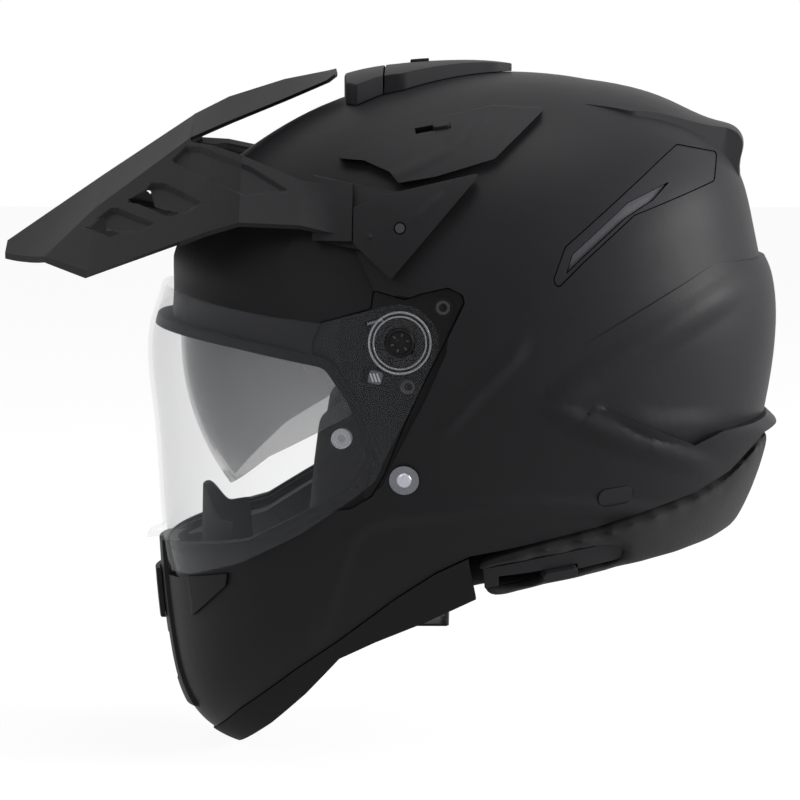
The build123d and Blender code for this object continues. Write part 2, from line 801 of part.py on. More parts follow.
roll_proud = 7.0
roll_depth = 24.0
roll_shares = [
    (0.190, -0.495), (0.297, -0.472), (0.504, -0.431), (0.633, -0.397), (0.768, -0.361),
    (0.863, -0.317), (0.958, -0.238), (1.200, -0.200), (1.200, -0.300), (1.040, -0.300),
    (0.991, -0.397), (0.885, -0.463), (0.751, -0.490), (0.610, -0.515), (0.443, -0.548),
    (0.325, -0.567), (0.224, -0.590),
]
lever_shares = [(0.213, -0.512), (0.577, -0.455), (0.583, -0.500), (0.218, -0.560)]
lever_proud = 3.0
lever_depth = 4.0
lever_outline = side_points(lever_shares)
roll_side = layer(
    -roll_proud,
    roll_depth,
    side_block(side_points(roll_shares), -far_side, far_side),
)
lever_room = side_block(lever_outline, 0.5 * shell_half_width, far_side, grow=seam)

# A rubber trim under the shell's edge, along the chin bar.
trim_proud = 1.0
trim_shares = [
    (-0.793, -0.967), (-0.658, -0.884), (-0.422, -0.768), (-0.245, -0.691), (-0.025, -0.589),
    (0.090, -0.526), (0.175, -0.490), (0.196, -0.588), (0.062, -0.645), (-0.101, -0.694),
    (-0.245, -0.736), (-0.385, -0.830), (-0.530, -0.915), (-0.760, -1.030),
]
rim_trim = layer(
    -trim_proud,
    trim_depth,
    side_block(side_points(trim_shares), -far_side, far_side),
)
write(rim_trim, "rim_trim")

# The sun visor's slider in its housing under the left edge of the shell.
slider_length = 17.0
slider_width = 5.4
slider_proud = 2.4
slider_travel = 20.0
slider_shares = (0.412, -0.527)
slider_way = (0.127, -0.989, -0.076)
slider_plane = face_plane(
    form(shell_shares, shell_half_width, -lever_proud), *side_point(*slider_shares), slider_way
)
slider_slot = bar(
    slider_plane,
    slider_length + slider_travel + 2 * seam,
    slider_width + 2 * seam,
    -overrun,
    overrun,
    start=0.5 * slider_travel,
)
lever_housing = without(
    layer(-lever_proud, lever_depth, side_block(lever_outline, 0, far_side)), slider_slot
)
write(lever_housing, "lever_housing")

# The neck roll leaves room for the housing and for the slider's travel.
slider_room = bar(
    slider_plane,
    slider_length + slider_travel + 2 * seam,
    slider_width + 2 * seam,
    -lever_proud - seam,
    overrun,
    start=0.5 * slider_travel,
)
write(without(roll_side, lever_room, slider_room), "neck_roll")

sun_visor_slider = bar(
    slider_plane, slider_length, slider_width, -lever_proud, slider_proud, 0.4 * slider_width
)
write(sun_visor_slider, "sun_visor_slider")

# The chin insert: its body, the shutter that slides over its windows, and the grille.
insert_proud = 2.0
insert_depth = 9.0
shutter_half = 15.0
shutter_top = -0.576 * chin_drop
shutter_bottom = -0.693 * chin_drop
shutter_proud = 5.5
shutter_travel = 6.0
shutter_stem = 3.0
window_half = 4.5
grille_half = 14.0
grille_top = -0.730 * chin_drop
grille_bottom = -0.845 * chin_drop
grille_bars = 3


def chin_block(left, right, bottom, top):
    """A block in the front of the chin with the given front view."""
    return front_block(
        [(left, bottom), (right, bottom), (right, top), (left, top)],
        -shell_front_reach - overrun,
        -0.5 * shell_front_reach,
    )


insert_top = chin_drop * chin_insert_top_share
insert_bottom = chin_drop * chin_insert_bottom_share
shutter_middle = 0.5 * (shutter_top + shutter_bottom)
stem_room = chin_block(
    -shutter_stem - seam,
    shutter_stem + seam,
    shutter_middle - shutter_stem - seam,
    shutter_middle + shutter_stem + shutter_travel + seam,
)
window = chin_block(
    shutter_stem + 3 * seam + window_half - 0.5 * window_half,
    shutter_half - shutter_stem,
    shutter_bottom + shutter_stem,
    shutter_top - shutter_stem,
)
grille_window = chin_block(-grille_half, grille_half, grille_bottom, grille_top)
chin_vent_body = without(
    layer(
        -insert_proud,
        insert_depth,
        chin_block(-chin_insert_half, chin_insert_half, insert_bottom, insert_top),
    ),
    stem_room,
    both_sides(window),
    grille_window,
)
write(chin_vent_body, "chin_vent_body")

shutter_plate = layer(
    -shutter_proud,
    -insert_proud - 2 * seam,
    chin_block(-shutter_half, shutter_half, shutter_bottom, shutter_top),
)
shutter_foot = layer(
    -insert_proud - 3 * seam,
    insert_depth,
    chin_block(
        -shutter_stem, shutter_stem, shutter_middle - shutter_stem, shutter_middle + shutter_stem
    ),
)
chin_vent_shutter = joined(shutter_plate, shutter_foot)
write(chin_vent_shutter, "chin_vent_shutter")

grille_frame = layer(
    0,
    0.5 * insert_depth,
    chin_block(
        -grille_half + seam, grille_half - seam, grille_bottom + seam, grille_top - seam
    ),
)
grille_pitch = (grille_top - grille_bottom) / (grille_bars + 1)
grille_slots = [
    chin_block(
        -grille_half + shutter_stem,
        grille_half - shutter_stem,
        grille_bottom + (row + 0.7) * grille_pitch,
        grille_bottom + (row + 1.3) * grille_pitch,
    )
    for row in range(grille_bars)
]
write(without(grille_frame, *grille_slots), "chin_lower_grille")

# Small inlets on the chin, beside the visor's foot.
inlet_shares = [(-0.870, -0.570), (-0.692, -0.545), (-0.700, -0.575), (-0.852, -0.664)]
inlet_thickness = 1.6
inlet = layer(-inlet_thickness - seam, -seam, side_block(side_points(inlet_shares), 0, far_side))
write_pair(inlet, "chin_side_inlet")

# The breath guard stands inside the chin bar, and the curtain closes it below.
guard_half = 50.0
guard_wall = 2.2
guard_top = -0.370 * chin_drop
guard_bottom = -0.680 * chin_drop
breath_guard = layer(
    chin_foam_inner + seam,
    chin_foam_inner + seam + guard_wall,
    chin_block(-guard_half, guard_half, guard_bottom, guard_top),
)
write(breath_guard, "breath_guard")

curtain_thickness = 1.2
curtain_ends = side_points([(-0.840, -0.962), (-0.380, -0.746)])
curtain_side = curtain_ends + [(back, up - curtain_thickness) for back, up in curtain_ends[::-1]]
chin_curtain = within(
    form(shell_shares, shell_half_width, trim_depth + seam),
    side_block(curtain_side, -far_side, far_side),
)
write(chin_curtain, "chin_curtain")

# The vents on top and beside the peak, with their sliders.
vent_nose_plan_shares = [(0.140, -0.240), (0.300, -0.228), (0.362, -0.185), (0.315, -0.080)]
vent_cover_plan_shares = [
    (0.315, -0.074), (0.315, 0.000), (0.236, 0.100), (0.110, 0.252), (0.055, 0.291),
]
vent_shares = shell_shares[:3] + [
    (-0.270, 0.990, 2.20), (-0.080, 1.034, 2.20), (0.112, 1.054, 2.20), (0.270, 1.046, 2.20),
    (0.440, 0.990, 2.25),
] + shell_shares[6:]
vent_slider_proud = 1.4
vent_slot_half = 5.4
vent_slider_half = 5.0
vent_slider_front = 3.0
vent_slider_back = 12.0
vent_travel = 8.0
vent_slider_clear = 2.0


def plan_points(shares):
    """Left and back distances from shares of the shell's half width and reach."""
    points = []
    for left, back in shares:
        reach = shell_rear_reach if back > 0 else shell_front_reach
        points.append((left * shell_half_width, back * reach))
    return mirrored_outline(points)


def crown_block(points):
    return top_block(points, 0.5 * crown_height, crown_height + overrun)


vent_top = form(vent_shares, shell_half_width, 0)
vent_foot = form(shell_shares, shell_half_width, -seam)
top_vent_nose = without(
    within(vent_top, crown_block(plan_points(vent_nose_plan_shares))), vent_foot
)
write(top_vent_nose, "top_vent_nose")
vent_slot = crown_block(
    mirrored_outline(
        [
            (vent_slot_half, vent_slider_front - vent_travel - seam),
            (vent_slot_half, vent_slider_back + seam),
        ]
    )
)
top_vent_cover = without(
    within(vent_top, crown_block(plan_points(vent_cover_plan_shares))), vent_foot, vent_slot
)
write(top_vent_cover, "top_vent_cover")
top_vent_slider = without(
    within(
        form(vent_shares, shell_half_width, -vent_slider_proud),
        crown_block(
            mirrored_outline(
                [(vent_slider_half, vent_slider_front), (vent_slider_half, vent_slider_back)]
            )
        ),
    ),
    form(shell_shares, shell_half_width, -vent_slider_clear),
)
write(top_vent_slider, "top_vent_slider")

side_vent_shares = [
    (-0.270, 0.686), (-0.211, 0.711), (0.022, 0.818), (0.241, 0.884), (0.375, 0.876),
    (0.241, 0.686), (0.090, 0.620), (-0.008, 0.595), (-0.042, 0.636), (-0.143, 0.678),
]
side_vent_proud = 4.0
side_vent_floor = 1.2
side_slider_shares = (0.104, 0.805)
side_slider_length = 8.0
side_slider_width = 3.6
side_slider_travel = 8.0
side_slider_proud = 1.6
side_slider_plane = face_plane(
    form(shell_shares, shell_half_width, -side_vent_proud),
    *side_point(*side_slider_shares),
    (0, -1, -0.22),
)
side_vent_slot = bar(
    side_slider_plane,
    side_slider_length + side_slider_travel + 2 * seam,
    side_slider_width + 2 * seam,
    -overrun,
    overrun,
    start=0.5 * side_slider_travel,
)
side_vent_cover = without(
    layer(
        -side_vent_proud,
        -seam,
        side_block(side_points(side_vent_shares), 0, far_side, 0.5 * recess_rounding),
    ),
    side_vent_slot,
)
write_pair(side_vent_cover, "side_vent_cover")
side_vent_slider = bar(
    side_slider_plane,
    side_slider_length,
    side_slider_width,
    side_vent_floor - side_vent_proud,
    side_slider_proud,
    0.4 * side_slider_width,
)
write_pair(side_vent_slider, "side_vent_slider")

# The air extractors at the back, each with a lighter panel let into it.
extractor_gap = 0.5
panel_shares = [
    (0.425, 0.262), (0.440, 0.330), (0.585, 0.520), (0.690, 0.590), (0.650, 0.530),
    (0.575, 0.462), (0.470, 0.325),
]
panel_block = side_block(side_points(panel_shares), 0, far_side)
panel_room = side_block(side_points(panel_shares), 0, far_side, grow=seam)
rear_extractor = without(
    layer(
        extractor_gap,
        extractor_depth - seam,
        side_block(
            side_points(extractor_shares), 0, far_side, recess_rounding, -extractor_gap
        ),
    ),
    panel_room,
)
write_pair(rear_extractor, "rear_extractor")
extractor_panel = layer(4 * extractor_gap, extractor_depth - seam, panel_block)
write_pair(extractor_panel, "extractor_panel")

side_plug = bar(
    plug_plane, plug_length - seam, plug_width - seam, seam - plug_depth, 2 * seam, 0.4 * plug_width
)
write(both_sides(side_plug), "side_plugs")
strap_rivet = joined(
    disc(rivet_plane, rivet_radius, seam, rivet_height),
    disc(rivet_plane, rivet_shank, -strap_depth - strap_thickness, seam),
)
write(both_sides(strap_rivet), "strap_rivets")

# The peak: a blade over the brow, a tongue back along the middle, and an arm on each side
# that ends in a lug under its side plate. Each row of the tables is a cross section, its
# first value the place, then the edges, as shares of the shell's reach, width and height.
peak_wall = 3.0
blade_shares = [
    (-1.688, [(0.000, 0.294), (0.417, 0.050), (0.472, 0.017)]),
    (-1.435, [(0.000, 0.463), (0.378, 0.289), (0.551, 0.165)]),
    (-1.232, [(0.000, 0.598), (0.343, 0.479), (0.677, 0.236)]),
    (-0.852, [(0.000, 0.843), (0.315, 0.752), (0.764, 0.372)]),
]
tongue_shares = [
    (-0.862, [(0.000, 0.838), (0.310, 0.748)]),
    (-0.717, [(0.000, 0.909), (0.283, 0.810)]),
    (-0.489, [(0.000, 0.979), (0.236, 0.901)]),
    (-0.312, [(0.000, 1.013), (0.190, 0.975)]),
    (-0.278, [(0.000, 1.021), (0.140, 1.000)]),
]
arm_shares = [
    (-0.862, [(0.325, 0.738), (0.764, 0.367)]),
    (-0.751, [(0.472, 0.727), (0.803, 0.409)]),
    (-0.624, [(0.646, 0.694), (0.858, 0.446)]),
    (-0.388, [(0.764, 0.603), (0.898, 0.438)]),
    (-0.203, [(0.827, 0.579), (0.913, 0.397)]),
]
peak_plan_shares = [
    (0.079, -1.633), (0.236, -1.527), (0.378, -1.435), (0.661, -1.232), (0.787, -1.181),
    (0.850, -0.800),
]
peak_hole_shares = [
    [(-1.097, 0.512), (-1.004, 0.562), (-0.979, 0.504), (-0.869, 0.471), (-0.920, 0.455)],
    [(-1.266, 0.405), (-1.190, 0.455), (-1.173, 0.405), (-1.114, 0.388), (-1.156, 0.372)],
]
lug_front_shares = [(-0.340, 0.380), (-0.340, 0.620), (-0.185, 0.590), (-0.185, 0.380)]
lug_shares = [(-0.340, 0.380), (-0.340, 0.620), (0.000, 0.560), (0.067, 0.430), (0.000, 0.320)]
lug_gap = 1.0
lug_thickness = 1.6
lug_front_proud = 6.0
side_plate_shares = [
    (-0.180, 0.372), (-0.180, 0.505), (-0.051, 0.554), (0.207, 0.636), (-0.034, 0.240),
]
side_plate_thickness = 3.6
side_plate_rounding = 1.0


def sections(rows):
    """A body with straight edges through cross sections from front to back."""
    with BuildPart() as body:
        for back_share, points in rows:
            with BuildSketch(Plane.XZ.offset(-back_share * shell_front_reach)):
                with BuildLine():
                    Polyline(*points, close=True)
                make_face()
        loft(ruled=True)
    return body.part


def edge_points(shares):
    return [(left * shell_half_width, up * crown_height) for left, up in shares]


def roof_section(shares):
    """A bent sheet from the left over the middle to the right, with its wall below."""
    upper = edge_points(shares)
    lower = [(left, up - peak_wall) for left, up in upper[:-1]]
    tip = (upper[-1][0] - peak_wall, upper[-1][1] - 0.5 * peak_wall)
    left_side = upper[1:] + [tip] + lower[:0:-1]
    right_side = [(-left, up) for left, up in reversed(left_side)]
    return [upper[0]] + left_side + [lower[0]] + right_side


def arm_section(shares):
    """A flat sheet between two edges, with its wall on the inside."""
    (inner_left, inner_up), (outer_left, outer_up) = edge_points(shares)
    run = outer_left - inner_left
    fall = outer_up - inner_up
    scale = peak_wall / math.hypot(run, fall)
    drop = (fall * scale, -run * scale)
    return [
        (inner_left, inner_up),
        (outer_left, outer_up),
        (outer_left + drop[0], outer_up + drop[1]),
        (inner_left + drop[0], inner_up + drop[1]),
    ]


blade = within(
    sections([(place, roof_section(shares)) for place, shares in blade_shares]),
    top_block(
        mirrored_outline(
            [(left * shell_half_width, back * shell_front_reach) for left, back in peak_plan_shares]
        ),
        0,
        2 * crown_height,
    ),
)
peak_holes = [
    side_block(side_points(shares), 0.2 * crown_height, far_side) for shares in peak_hole_shares
]
tongue = sections([(place, roof_section(shares)) for place, shares in tongue_shares])
arm = sections([(place, arm_section(shares)) for place, shares in arm_shares])
lug = joined(
    layer(-lug_front_proud, -lug_gap, side_block(side_points(lug_front_shares), 0, far_side)),
    layer(-lug_gap - lug_thickness, -lug_gap, side_block(side_points(lug_shares), 0, far_side)),
)
shell_room = form(shell_shares, shell_half_width, -0.6 * lug_gap)
peak_axis = Axis((0, *peak_pivot), (1, 0, 0))
peak = without(
    joined(blade, tongue, both_sides(arm), both_sides(lug)),
    both_sides(joined(*peak_holes)),
    peak_screw_hole,
    mirror(peak_screw_hole, about=Plane.YZ, mode=Mode.PRIVATE),
    shell_room,
    shell_room.rotate(peak_axis, 0.5 * peak_tilt),
    shell_room.rotate(peak_axis, peak_tilt),
)
write(peak, "peak")

plate_inner = -lug_gap - lug_thickness - seam
plate_outer = plate_inner - side_plate_thickness
plate_pocket = peak_x + 1.6 * peak_screw_head_height - 0.4 * plate_outer
peak_plate = without(
    layer(
        plate_outer,
        plate_inner,
        side_block(side_points(side_plate_shares), 0, far_side, side_plate_rounding),
    ),
    peak_screw_hole,
    along_x(*peak_pivot, peak_screw_head + 2 * seam, plate_pocket, far_side),
)
write_pair(peak_plate, "peak_plate")
peak_screw = joined(
    along_x(*peak_pivot, peak_screw_radius, peak_x - shell_wall, plate_pocket + seam),
    along_x(
        *peak_pivot,
        peak_screw_head,
        plate_pocket + seam,
        plate_pocket + seam + peak_screw_head_height,
    ),
)
write(both_sides(peak_screw), "peak_screws")

# The chin strap: a band from each rivet down inside the foam, then across to the buckle.
strap_path_shares = [(0.700, -0.588), (0.560, -0.632), (0.240, -0.655), (0.000, -0.660)]
buckle_length = 36.0
buckle_width = 28.4
buckle_height = 12.0
buckle_inner_end = 10.0
buckle_wall = 1.8
tongue_length = 54.0
tongue_width = 20.0
tongue_thickness = 2.0
tongue_end = -24.0
lever_length = 30.0
lever_width = 18.0
lever_thickness = 2.4
lever_pin_radius = 1.5
buckle_up = strap_path_shares[-1][1] * chin_drop
strap_side = form(shell_shares, shell_half_width, strap_depth)
strap_edge_x = face_distance(strap_side, strap_back, strap_foot)
strap_band_inner = strap_edge_x - strap_thickness


def strap_band(last):
    """The left strap's lower run, from the shell's edge to a distance off the middle."""
    upper = [(strap_band_inner, strap_foot)] + [
        (left * shell_half_width, up * chin_drop) for left, up in strap_path_shares[:2]
    ] + [(last, buckle_up + 0.5 * strap_thickness)]
    outer = [(strap_edge_x, strap_foot)] + [
        (left, up - strap_thickness) for left, up in upper[1:]
    ]
    with BuildPart() as band:
        with BuildSketch(Plane.XZ.offset(-strap_back)):
            with BuildLine():
                Spline(*upper)
                Spline(*outer)
                Line(upper[0], outer[0])
                Line(upper[-1], outer[-1])
            make_face()
        extrude(amount=0.5 * strap_width, both=True)
    return band.part


strap_upper = layer(
    strap_depth,
    strap_depth + strap_thickness,
    side_block(
        [
            (strap_back - 0.5 * strap_width + strap_shoulder, strap_head),
            (strap_back + 0.5 * strap_width - strap_shoulder, strap_head),
            (strap_back + 0.5 * strap_width, strap_head - 2 * strap_shoulder),
            (strap_back + 0.5 * strap_width, strap_foot - seam),
            (strap_back - 0.5 * strap_width, strap_foot - seam),
            (strap_back - 0.5 * strap_width, strap_head - 2 * strap_shoulder),
        ],
        0,
        far_side,
    ),
)
rivet_clear = disc(rivet_plane, rivet_shank + running_fit, -overrun, overrun)
strap_left = without(
    joined(strap_upper, strap_band(buckle_inner_end + buckle_length - 2 * buckle_wall)), rivet_clear
)
write(strap_left, "strap_left")
strap_right = right_of(
    without(joined(strap_upper, strap_band(seam - tongue_end)), rivet_clear)
)
write(strap_right, "strap_right")


def buckle_box(first, last, width, low, high):
    """A box on the buckle, from one place across the helmet to another."""
    with BuildPart() as box:
        with Locations((0.5 * (first + last), strap_back, buckle_up + 0.5 * (low + high))):
            Box(last - first, width, high - low)
    return box.part


buckle_last = buckle_inner_end + buckle_length
half_height = 0.5 * buckle_height
lever_up = half_height - buckle_wall
lever_pin_x = buckle_last - 3 * buckle_wall


def lever_bar(radius, width):
    with BuildPart() as bar_part:
        with BuildSketch(Plane.XZ.offset(-strap_back)):
            with Locations((lever_pin_x, buckle_up + lever_up)):
                Circle(radius)
        extrude(amount=0.5 * width, both=True)
    return bar_part.part


with BuildPart() as buckle_body:
    add(buckle_box(buckle_inner_end, buckle_last, buckle_width, -half_height, half_height))
    fillet(buckle_body.edges().filter_by(Axis.Z), 2 * buckle_wall)
    add(
        buckle_box(
            buckle_inner_end - buckle_wall,
            buckle_last + buckle_wall,
            buckle_width - 2 * buckle_wall,
            0.5 * buckle_wall - half_height,
            half_height + buckle_wall,
        ),
        mode=Mode.SUBTRACT,
    )
    add(
        buckle_box(
            buckle_inner_end,
            buckle_last,
            buckle_width - buckle_wall,
            -half_height,
            0.6 * buckle_wall - half_height,
        )
    )
    add(lever_bar(lever_pin_radius, buckle_width))
write(buckle_body.part, "buckle_body")
with BuildPart() as buckle_tongue:
    add(
        buckle_box(
            tongue_end, tongue_end + tongue_length, tongue_width,
            -0.5 * tongue_thickness, 0.5 * tongue_thickness,
        )
    )
    fillet(buckle_tongue.edges().filter_by(Axis.Z), 2 * buckle_wall)
write(buckle_tongue.part, "buckle_tongue")
with BuildPart() as buckle_lever:
    add(
        buckle_box(
            lever_pin_x - lever_length, lever_pin_x, lever_width,
            lever_up - 0.5 * lever_thickness, lever_up + 0.5 * lever_thickness,
        )
    )
    add(lever_bar(lever_pin_radius + buckle_wall, lever_width))
    add(lever_bar(lever_pin_radius + running_fit, buckle_width), mode=Mode.SUBTRACT)
write(buckle_lever.part, "buckle_lever")
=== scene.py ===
# %% [markdown]
# # A dual sport helmet
# The hard parts of this helmet come from a CAD model, which is loaded as a fixed frame.
# Blender adds what the eye looks for: finishes, padding, webbing and small formed parts.

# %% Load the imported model
import json
import math

import bmesh
import bpy
from mathutils import Matrix, Vector

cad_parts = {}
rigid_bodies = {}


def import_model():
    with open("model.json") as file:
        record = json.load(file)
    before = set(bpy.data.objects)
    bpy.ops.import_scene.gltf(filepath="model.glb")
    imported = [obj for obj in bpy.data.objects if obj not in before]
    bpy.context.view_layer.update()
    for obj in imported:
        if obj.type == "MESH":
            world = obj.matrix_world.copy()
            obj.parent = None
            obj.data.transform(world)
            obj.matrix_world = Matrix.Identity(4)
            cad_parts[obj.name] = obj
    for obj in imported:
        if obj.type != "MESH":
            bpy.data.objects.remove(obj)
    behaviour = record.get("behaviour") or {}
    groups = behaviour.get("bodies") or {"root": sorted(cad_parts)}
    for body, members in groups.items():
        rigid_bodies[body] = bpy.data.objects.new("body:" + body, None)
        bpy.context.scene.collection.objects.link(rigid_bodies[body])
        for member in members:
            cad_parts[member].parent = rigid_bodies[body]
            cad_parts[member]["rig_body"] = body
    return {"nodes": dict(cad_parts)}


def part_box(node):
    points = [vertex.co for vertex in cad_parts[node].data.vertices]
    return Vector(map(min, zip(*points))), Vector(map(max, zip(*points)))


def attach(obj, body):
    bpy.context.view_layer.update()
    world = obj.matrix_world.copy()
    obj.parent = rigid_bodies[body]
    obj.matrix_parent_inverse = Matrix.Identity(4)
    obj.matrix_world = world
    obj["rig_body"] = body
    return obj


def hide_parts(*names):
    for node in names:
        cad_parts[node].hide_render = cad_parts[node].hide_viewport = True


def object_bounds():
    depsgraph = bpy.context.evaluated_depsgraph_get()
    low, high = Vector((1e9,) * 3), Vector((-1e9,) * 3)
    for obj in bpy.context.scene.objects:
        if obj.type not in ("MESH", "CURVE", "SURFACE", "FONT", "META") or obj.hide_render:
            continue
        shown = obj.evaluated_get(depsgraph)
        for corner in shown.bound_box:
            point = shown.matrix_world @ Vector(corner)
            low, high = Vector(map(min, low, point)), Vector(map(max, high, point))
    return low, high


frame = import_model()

nodes = frame["nodes"]
cad_low, cad_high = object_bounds()
MM = 0.001
print("loaded", len(nodes), "nodes")

# %% [markdown]
# Materials are node graphs. Writing every Math node by hand is slow to read, so a small
# class wraps a socket and turns ordinary Python sums into Math nodes.

# %% A socket that can be used in sums
class Wire:
    """One output socket. Sums on it add Math nodes to its material."""

    def __init__(self, finish, socket):
        self.finish = finish
        self.socket = socket

    def maths(self, operation, first, second):
        return self.finish.node("ShaderNodeMath", {"operation": operation}, {0: first, 1: second})

    def __add__(self, other):
        return self.maths("ADD", self, other)

    def __radd__(self, other):
        return self.maths("ADD", other, self)

    def __sub__(self, other):
        return self.maths("SUBTRACT", self, other)

    def __rsub__(self, other):
        return self.maths("SUBTRACT", other, self)

    def __mul__(self, other):
        return self.maths("MULTIPLY", self, other)

    def __rmul__(self, other):
        return self.maths("MULTIPLY", other, self)


# %% [markdown]
# A second class holds one material. Every finish of the helmet is a short recipe on it:
# where the pattern sits, a noise or two, a bump, and one Principled shader at the end.

# %% A material made from code
class Finish:
    """A material whose nodes are added one call at a time."""

    def __init__(self, name):
        self.material = bpy.data.materials.new(name)
        self.material.use_nodes = True
        self.tree = self.material.node_tree
        self.tree.nodes.clear()
        self.output = self.tree.nodes.new("ShaderNodeOutputMaterial")

    def node(self, kind, settings=None, sockets=None, out=0):
        """Adds a node, sets its settings, then its sockets' values or links."""
        made = self.tree.nodes.new(kind)
        for key, value in (settings or {}).items():
            setattr(made, key, value)
        for key, value in (sockets or {}).items():
            self.join(made.inputs[key], value)
        return Wire(self, made.outputs[out])

    def join(self, socket, value):
        if isinstance(value, Wire):
            self.tree.links.new(value.socket, socket)
        else:
            socket.default_value = value

    def place(self, scale=(1, 1, 1)):
        """Coordinates fixed to the piece, scaled by a Mapping node."""
        texture = self.node("ShaderNodeTexCoord", out="Object")
        return self.node("ShaderNodeMapping", {}, {"Vector": texture, "Scale": scale})

    def noise(self, scale, detail, where=None):
        """A noise on the piece, with more detail for a rougher look."""
        where = where or self.place()
        return self.node("ShaderNodeTexNoise", {}, {"Vector": where, "Scale": scale, "Detail": detail})

    def mix(self, amount, first, second):
        """Mixes two colours."""
        made = self.tree.nodes.new("ShaderNodeMix")
        made.data_type = "RGBA"
        self.join(made.inputs["Factor"], amount)
        self.join(made.inputs[6], first)
        self.join(made.inputs[7], second)
        return Wire(self, made.outputs[2])

    def bump(self, height, strength, distance):
        sockets = {"Height": height, "Strength": strength, "Distance": distance}
        return self.node("ShaderNodeBump", {}, sockets)

    def surface(self, **values):
        """Ends the graph in a Principled shader with these socket values."""
        sockets = {key.replace("_", " "): value for key, value in values.items()}
        shader = self.node("ShaderNodeBsdfPrincipled", {}, sockets)
        self.join(self.output.inputs["Surface"], shader)
        return self.material


def grey(value):
    return (value, value, value, 1.0)


def cool(value):
    """A grey with the faint blue cast of moulded black plastic."""
    return (value * 0.97, value * 0.98, value * 1.08, 1.0)


# %% [markdown]
# The shell and the peak have a matte black coat. Up close it is never one even colour: it
# has a fine peel, and faint cloudy changes in tone and gloss. A bump texture gives the
# peel, because it is far too fine to model.

# %% Matte paint and moulded plastic
PEEL_DEPTH = 0.0004


def matte(name, colour, rough, peel_scale, peel, cloud=0.05, gleam=0.09):
    """A matte finish with a fine peel and cloudy gloss."""
    finish = Finish(name)
    clouds = finish.noise(28.0, 4.0)
    peel_height = finish.noise(peel_scale, 3.0)
    fine = finish.noise(peel_scale * 3.1, 1.0)
    base = finish.mix(clouds, cool(colour * 0.86), cool(colour * 1.16))
    shine = clouds * cloud * 2.0 + (rough - cloud)
    lumps = peel_height * 0.7 + fine * 0.3
    return finish.surface(
        Base_Color=base,
        Roughness=shine,
        Normal=finish.bump(lumps, peel, PEEL_DEPTH),
        Specular_IOR_Level=gleam,
    )


shell_paint = matte("shell_paint", 0.012, 0.50, 900.0, 0.10)
trim_plastic = matte("trim_plastic", 0.014, 0.56, 1400.0, 0.22, gleam=0.10)
panel_plastic = matte("panel_plastic", 0.070, 0.45, 1400.0, 0.16)
mechanism_plastic = matte("mechanism_plastic", 0.004, 0.36, 600.0, 0.015, 0.02, gleam=0.13)
latch_plastic = matte("latch_plastic", 0.10, 0.35, 600.0, 0.04, gleam=0.4)
bar_plastic = matte("bar_plastic", 0.55, 0.35, 600.0, 0.04, gleam=0.5)
seal_rubber = matte("seal_rubber", 0.010, 0.72, 2000.0, 0.25)
screw_black = matte("screw_black", 0.02, 0.33, 2600.0, 0.10, gleam=0.4)
print("painted finishes made")

# %% [markdown]
# The visor is clear polycarbonate. Light goes almost straight through it, so its alpha is
# low, and only where it is seen edge-on does it gather some grey. Layer Weight gives that
# for any view. The sun visor is the same with a smoked tint that deepens towards its top.

# %% Clear and smoked polycarbonate
def polycarbonate(name, tint, clear_alpha, edge_alpha, fade=None):
    """A thin clear sheet. A fade is the heights that it starts and ends at, and its gain."""
    finish = Finish(name)
    edge = finish.node("ShaderNodeLayerWeight", {}, {"Blend": 0.22}, "Facing")
    alpha = edge * (edge_alpha - clear_alpha) + clear_alpha
    if fade is not None:
        up = finish.node("ShaderNodeSeparateXYZ", {}, {"Vector": finish.place()}, "Z")
        low, high, gain = fade
        share = finish.node(
            "ShaderNodeMapRange", {}, {"Value": up, "From Min": low, "From Max": high}, "Result"
        )
        alpha = alpha + share * gain
    haze = finish.noise(60.0, 2.0)
    return finish.surface(
        Base_Color=tint,
        Roughness=haze * 0.03 + 0.03,
        Alpha=alpha,
        IOR=1.50,
    )


clear_sheet = polycarbonate("clear_sheet", (0.30, 0.31, 0.34, 1.0), 0.03, 0.26)
clear_ring = polycarbonate("clear_ring", (0.05, 0.05, 0.055, 1.0), 0.12, 0.60)
smoked_tint = (0.060, 0.066, 0.078, 1.0)
smoked_sheet = polycarbonate("smoked_sheet", smoked_tint, 0.24, 0.60, (-0.085, 0.012, 0.24))
clear_pin = polycarbonate("clear_pin", (0.55, 0.57, 0.60, 1.0), 0.30, 0.85)
print("sheet finishes made")

# %% [markdown]
# Steel shows fine turning marks, so its roughness follows rings stretched along one way.
# The foam is made of beads pressed together: a Voronoi texture gives both the cells and
# the thin grooves between them.

# %% Steel and bead foam
def steel(name, dark, bright):
    """Turned steel between two greys."""
    finish = Finish(name)
    marks = finish.noise(40.0, 3.0, finish.place((1, 30, 30)))
    return finish.surface(
        Base_Color=finish.mix(marks, cool(dark), cool(bright)),
        Metallic=1.0,
        Roughness=marks * 0.16 + 0.22,
    )


BEADS_PER_METRE = 260.0


def bead_foam():
    """Black foam of pressed beads, each with a tone of its own."""
    finish = Finish("bead_foam")
    beads = {"Vector": finish.place(), "Scale": BEADS_PER_METRE}
    cells = finish.node("ShaderNodeTexVoronoi", {"feature": "DISTANCE_TO_EDGE"}, beads)
    colour = finish.node("ShaderNodeTexVoronoi", {}, beads, "Color")
    tone = finish.node("ShaderNodeRGBToBW", {}, {"Color": colour})
    return finish.surface(
        Base_Color=finish.mix(tone, cool(0.022), cool(0.040)),
        Roughness=0.8,
        Normal=finish.bump(cells, 0.5, 0.0008),
    )


steel_finish = steel("steel", 0.30, 0.54)
rivet_finish = steel("rivet_steel", 0.10, 0.19)
foam_finish = bead_foam()
print("steel and foam finishes made")

# %% [markdown]
# Lining cloth is a warp knit: short loops in close columns. Two crossed waves on object
# coordinates give the loops, a fine noise breaks them up, and sheen gives the pale bloom
# that fibres have at grazing angles. Webbing is the same idea with a coarser, slanted rib.

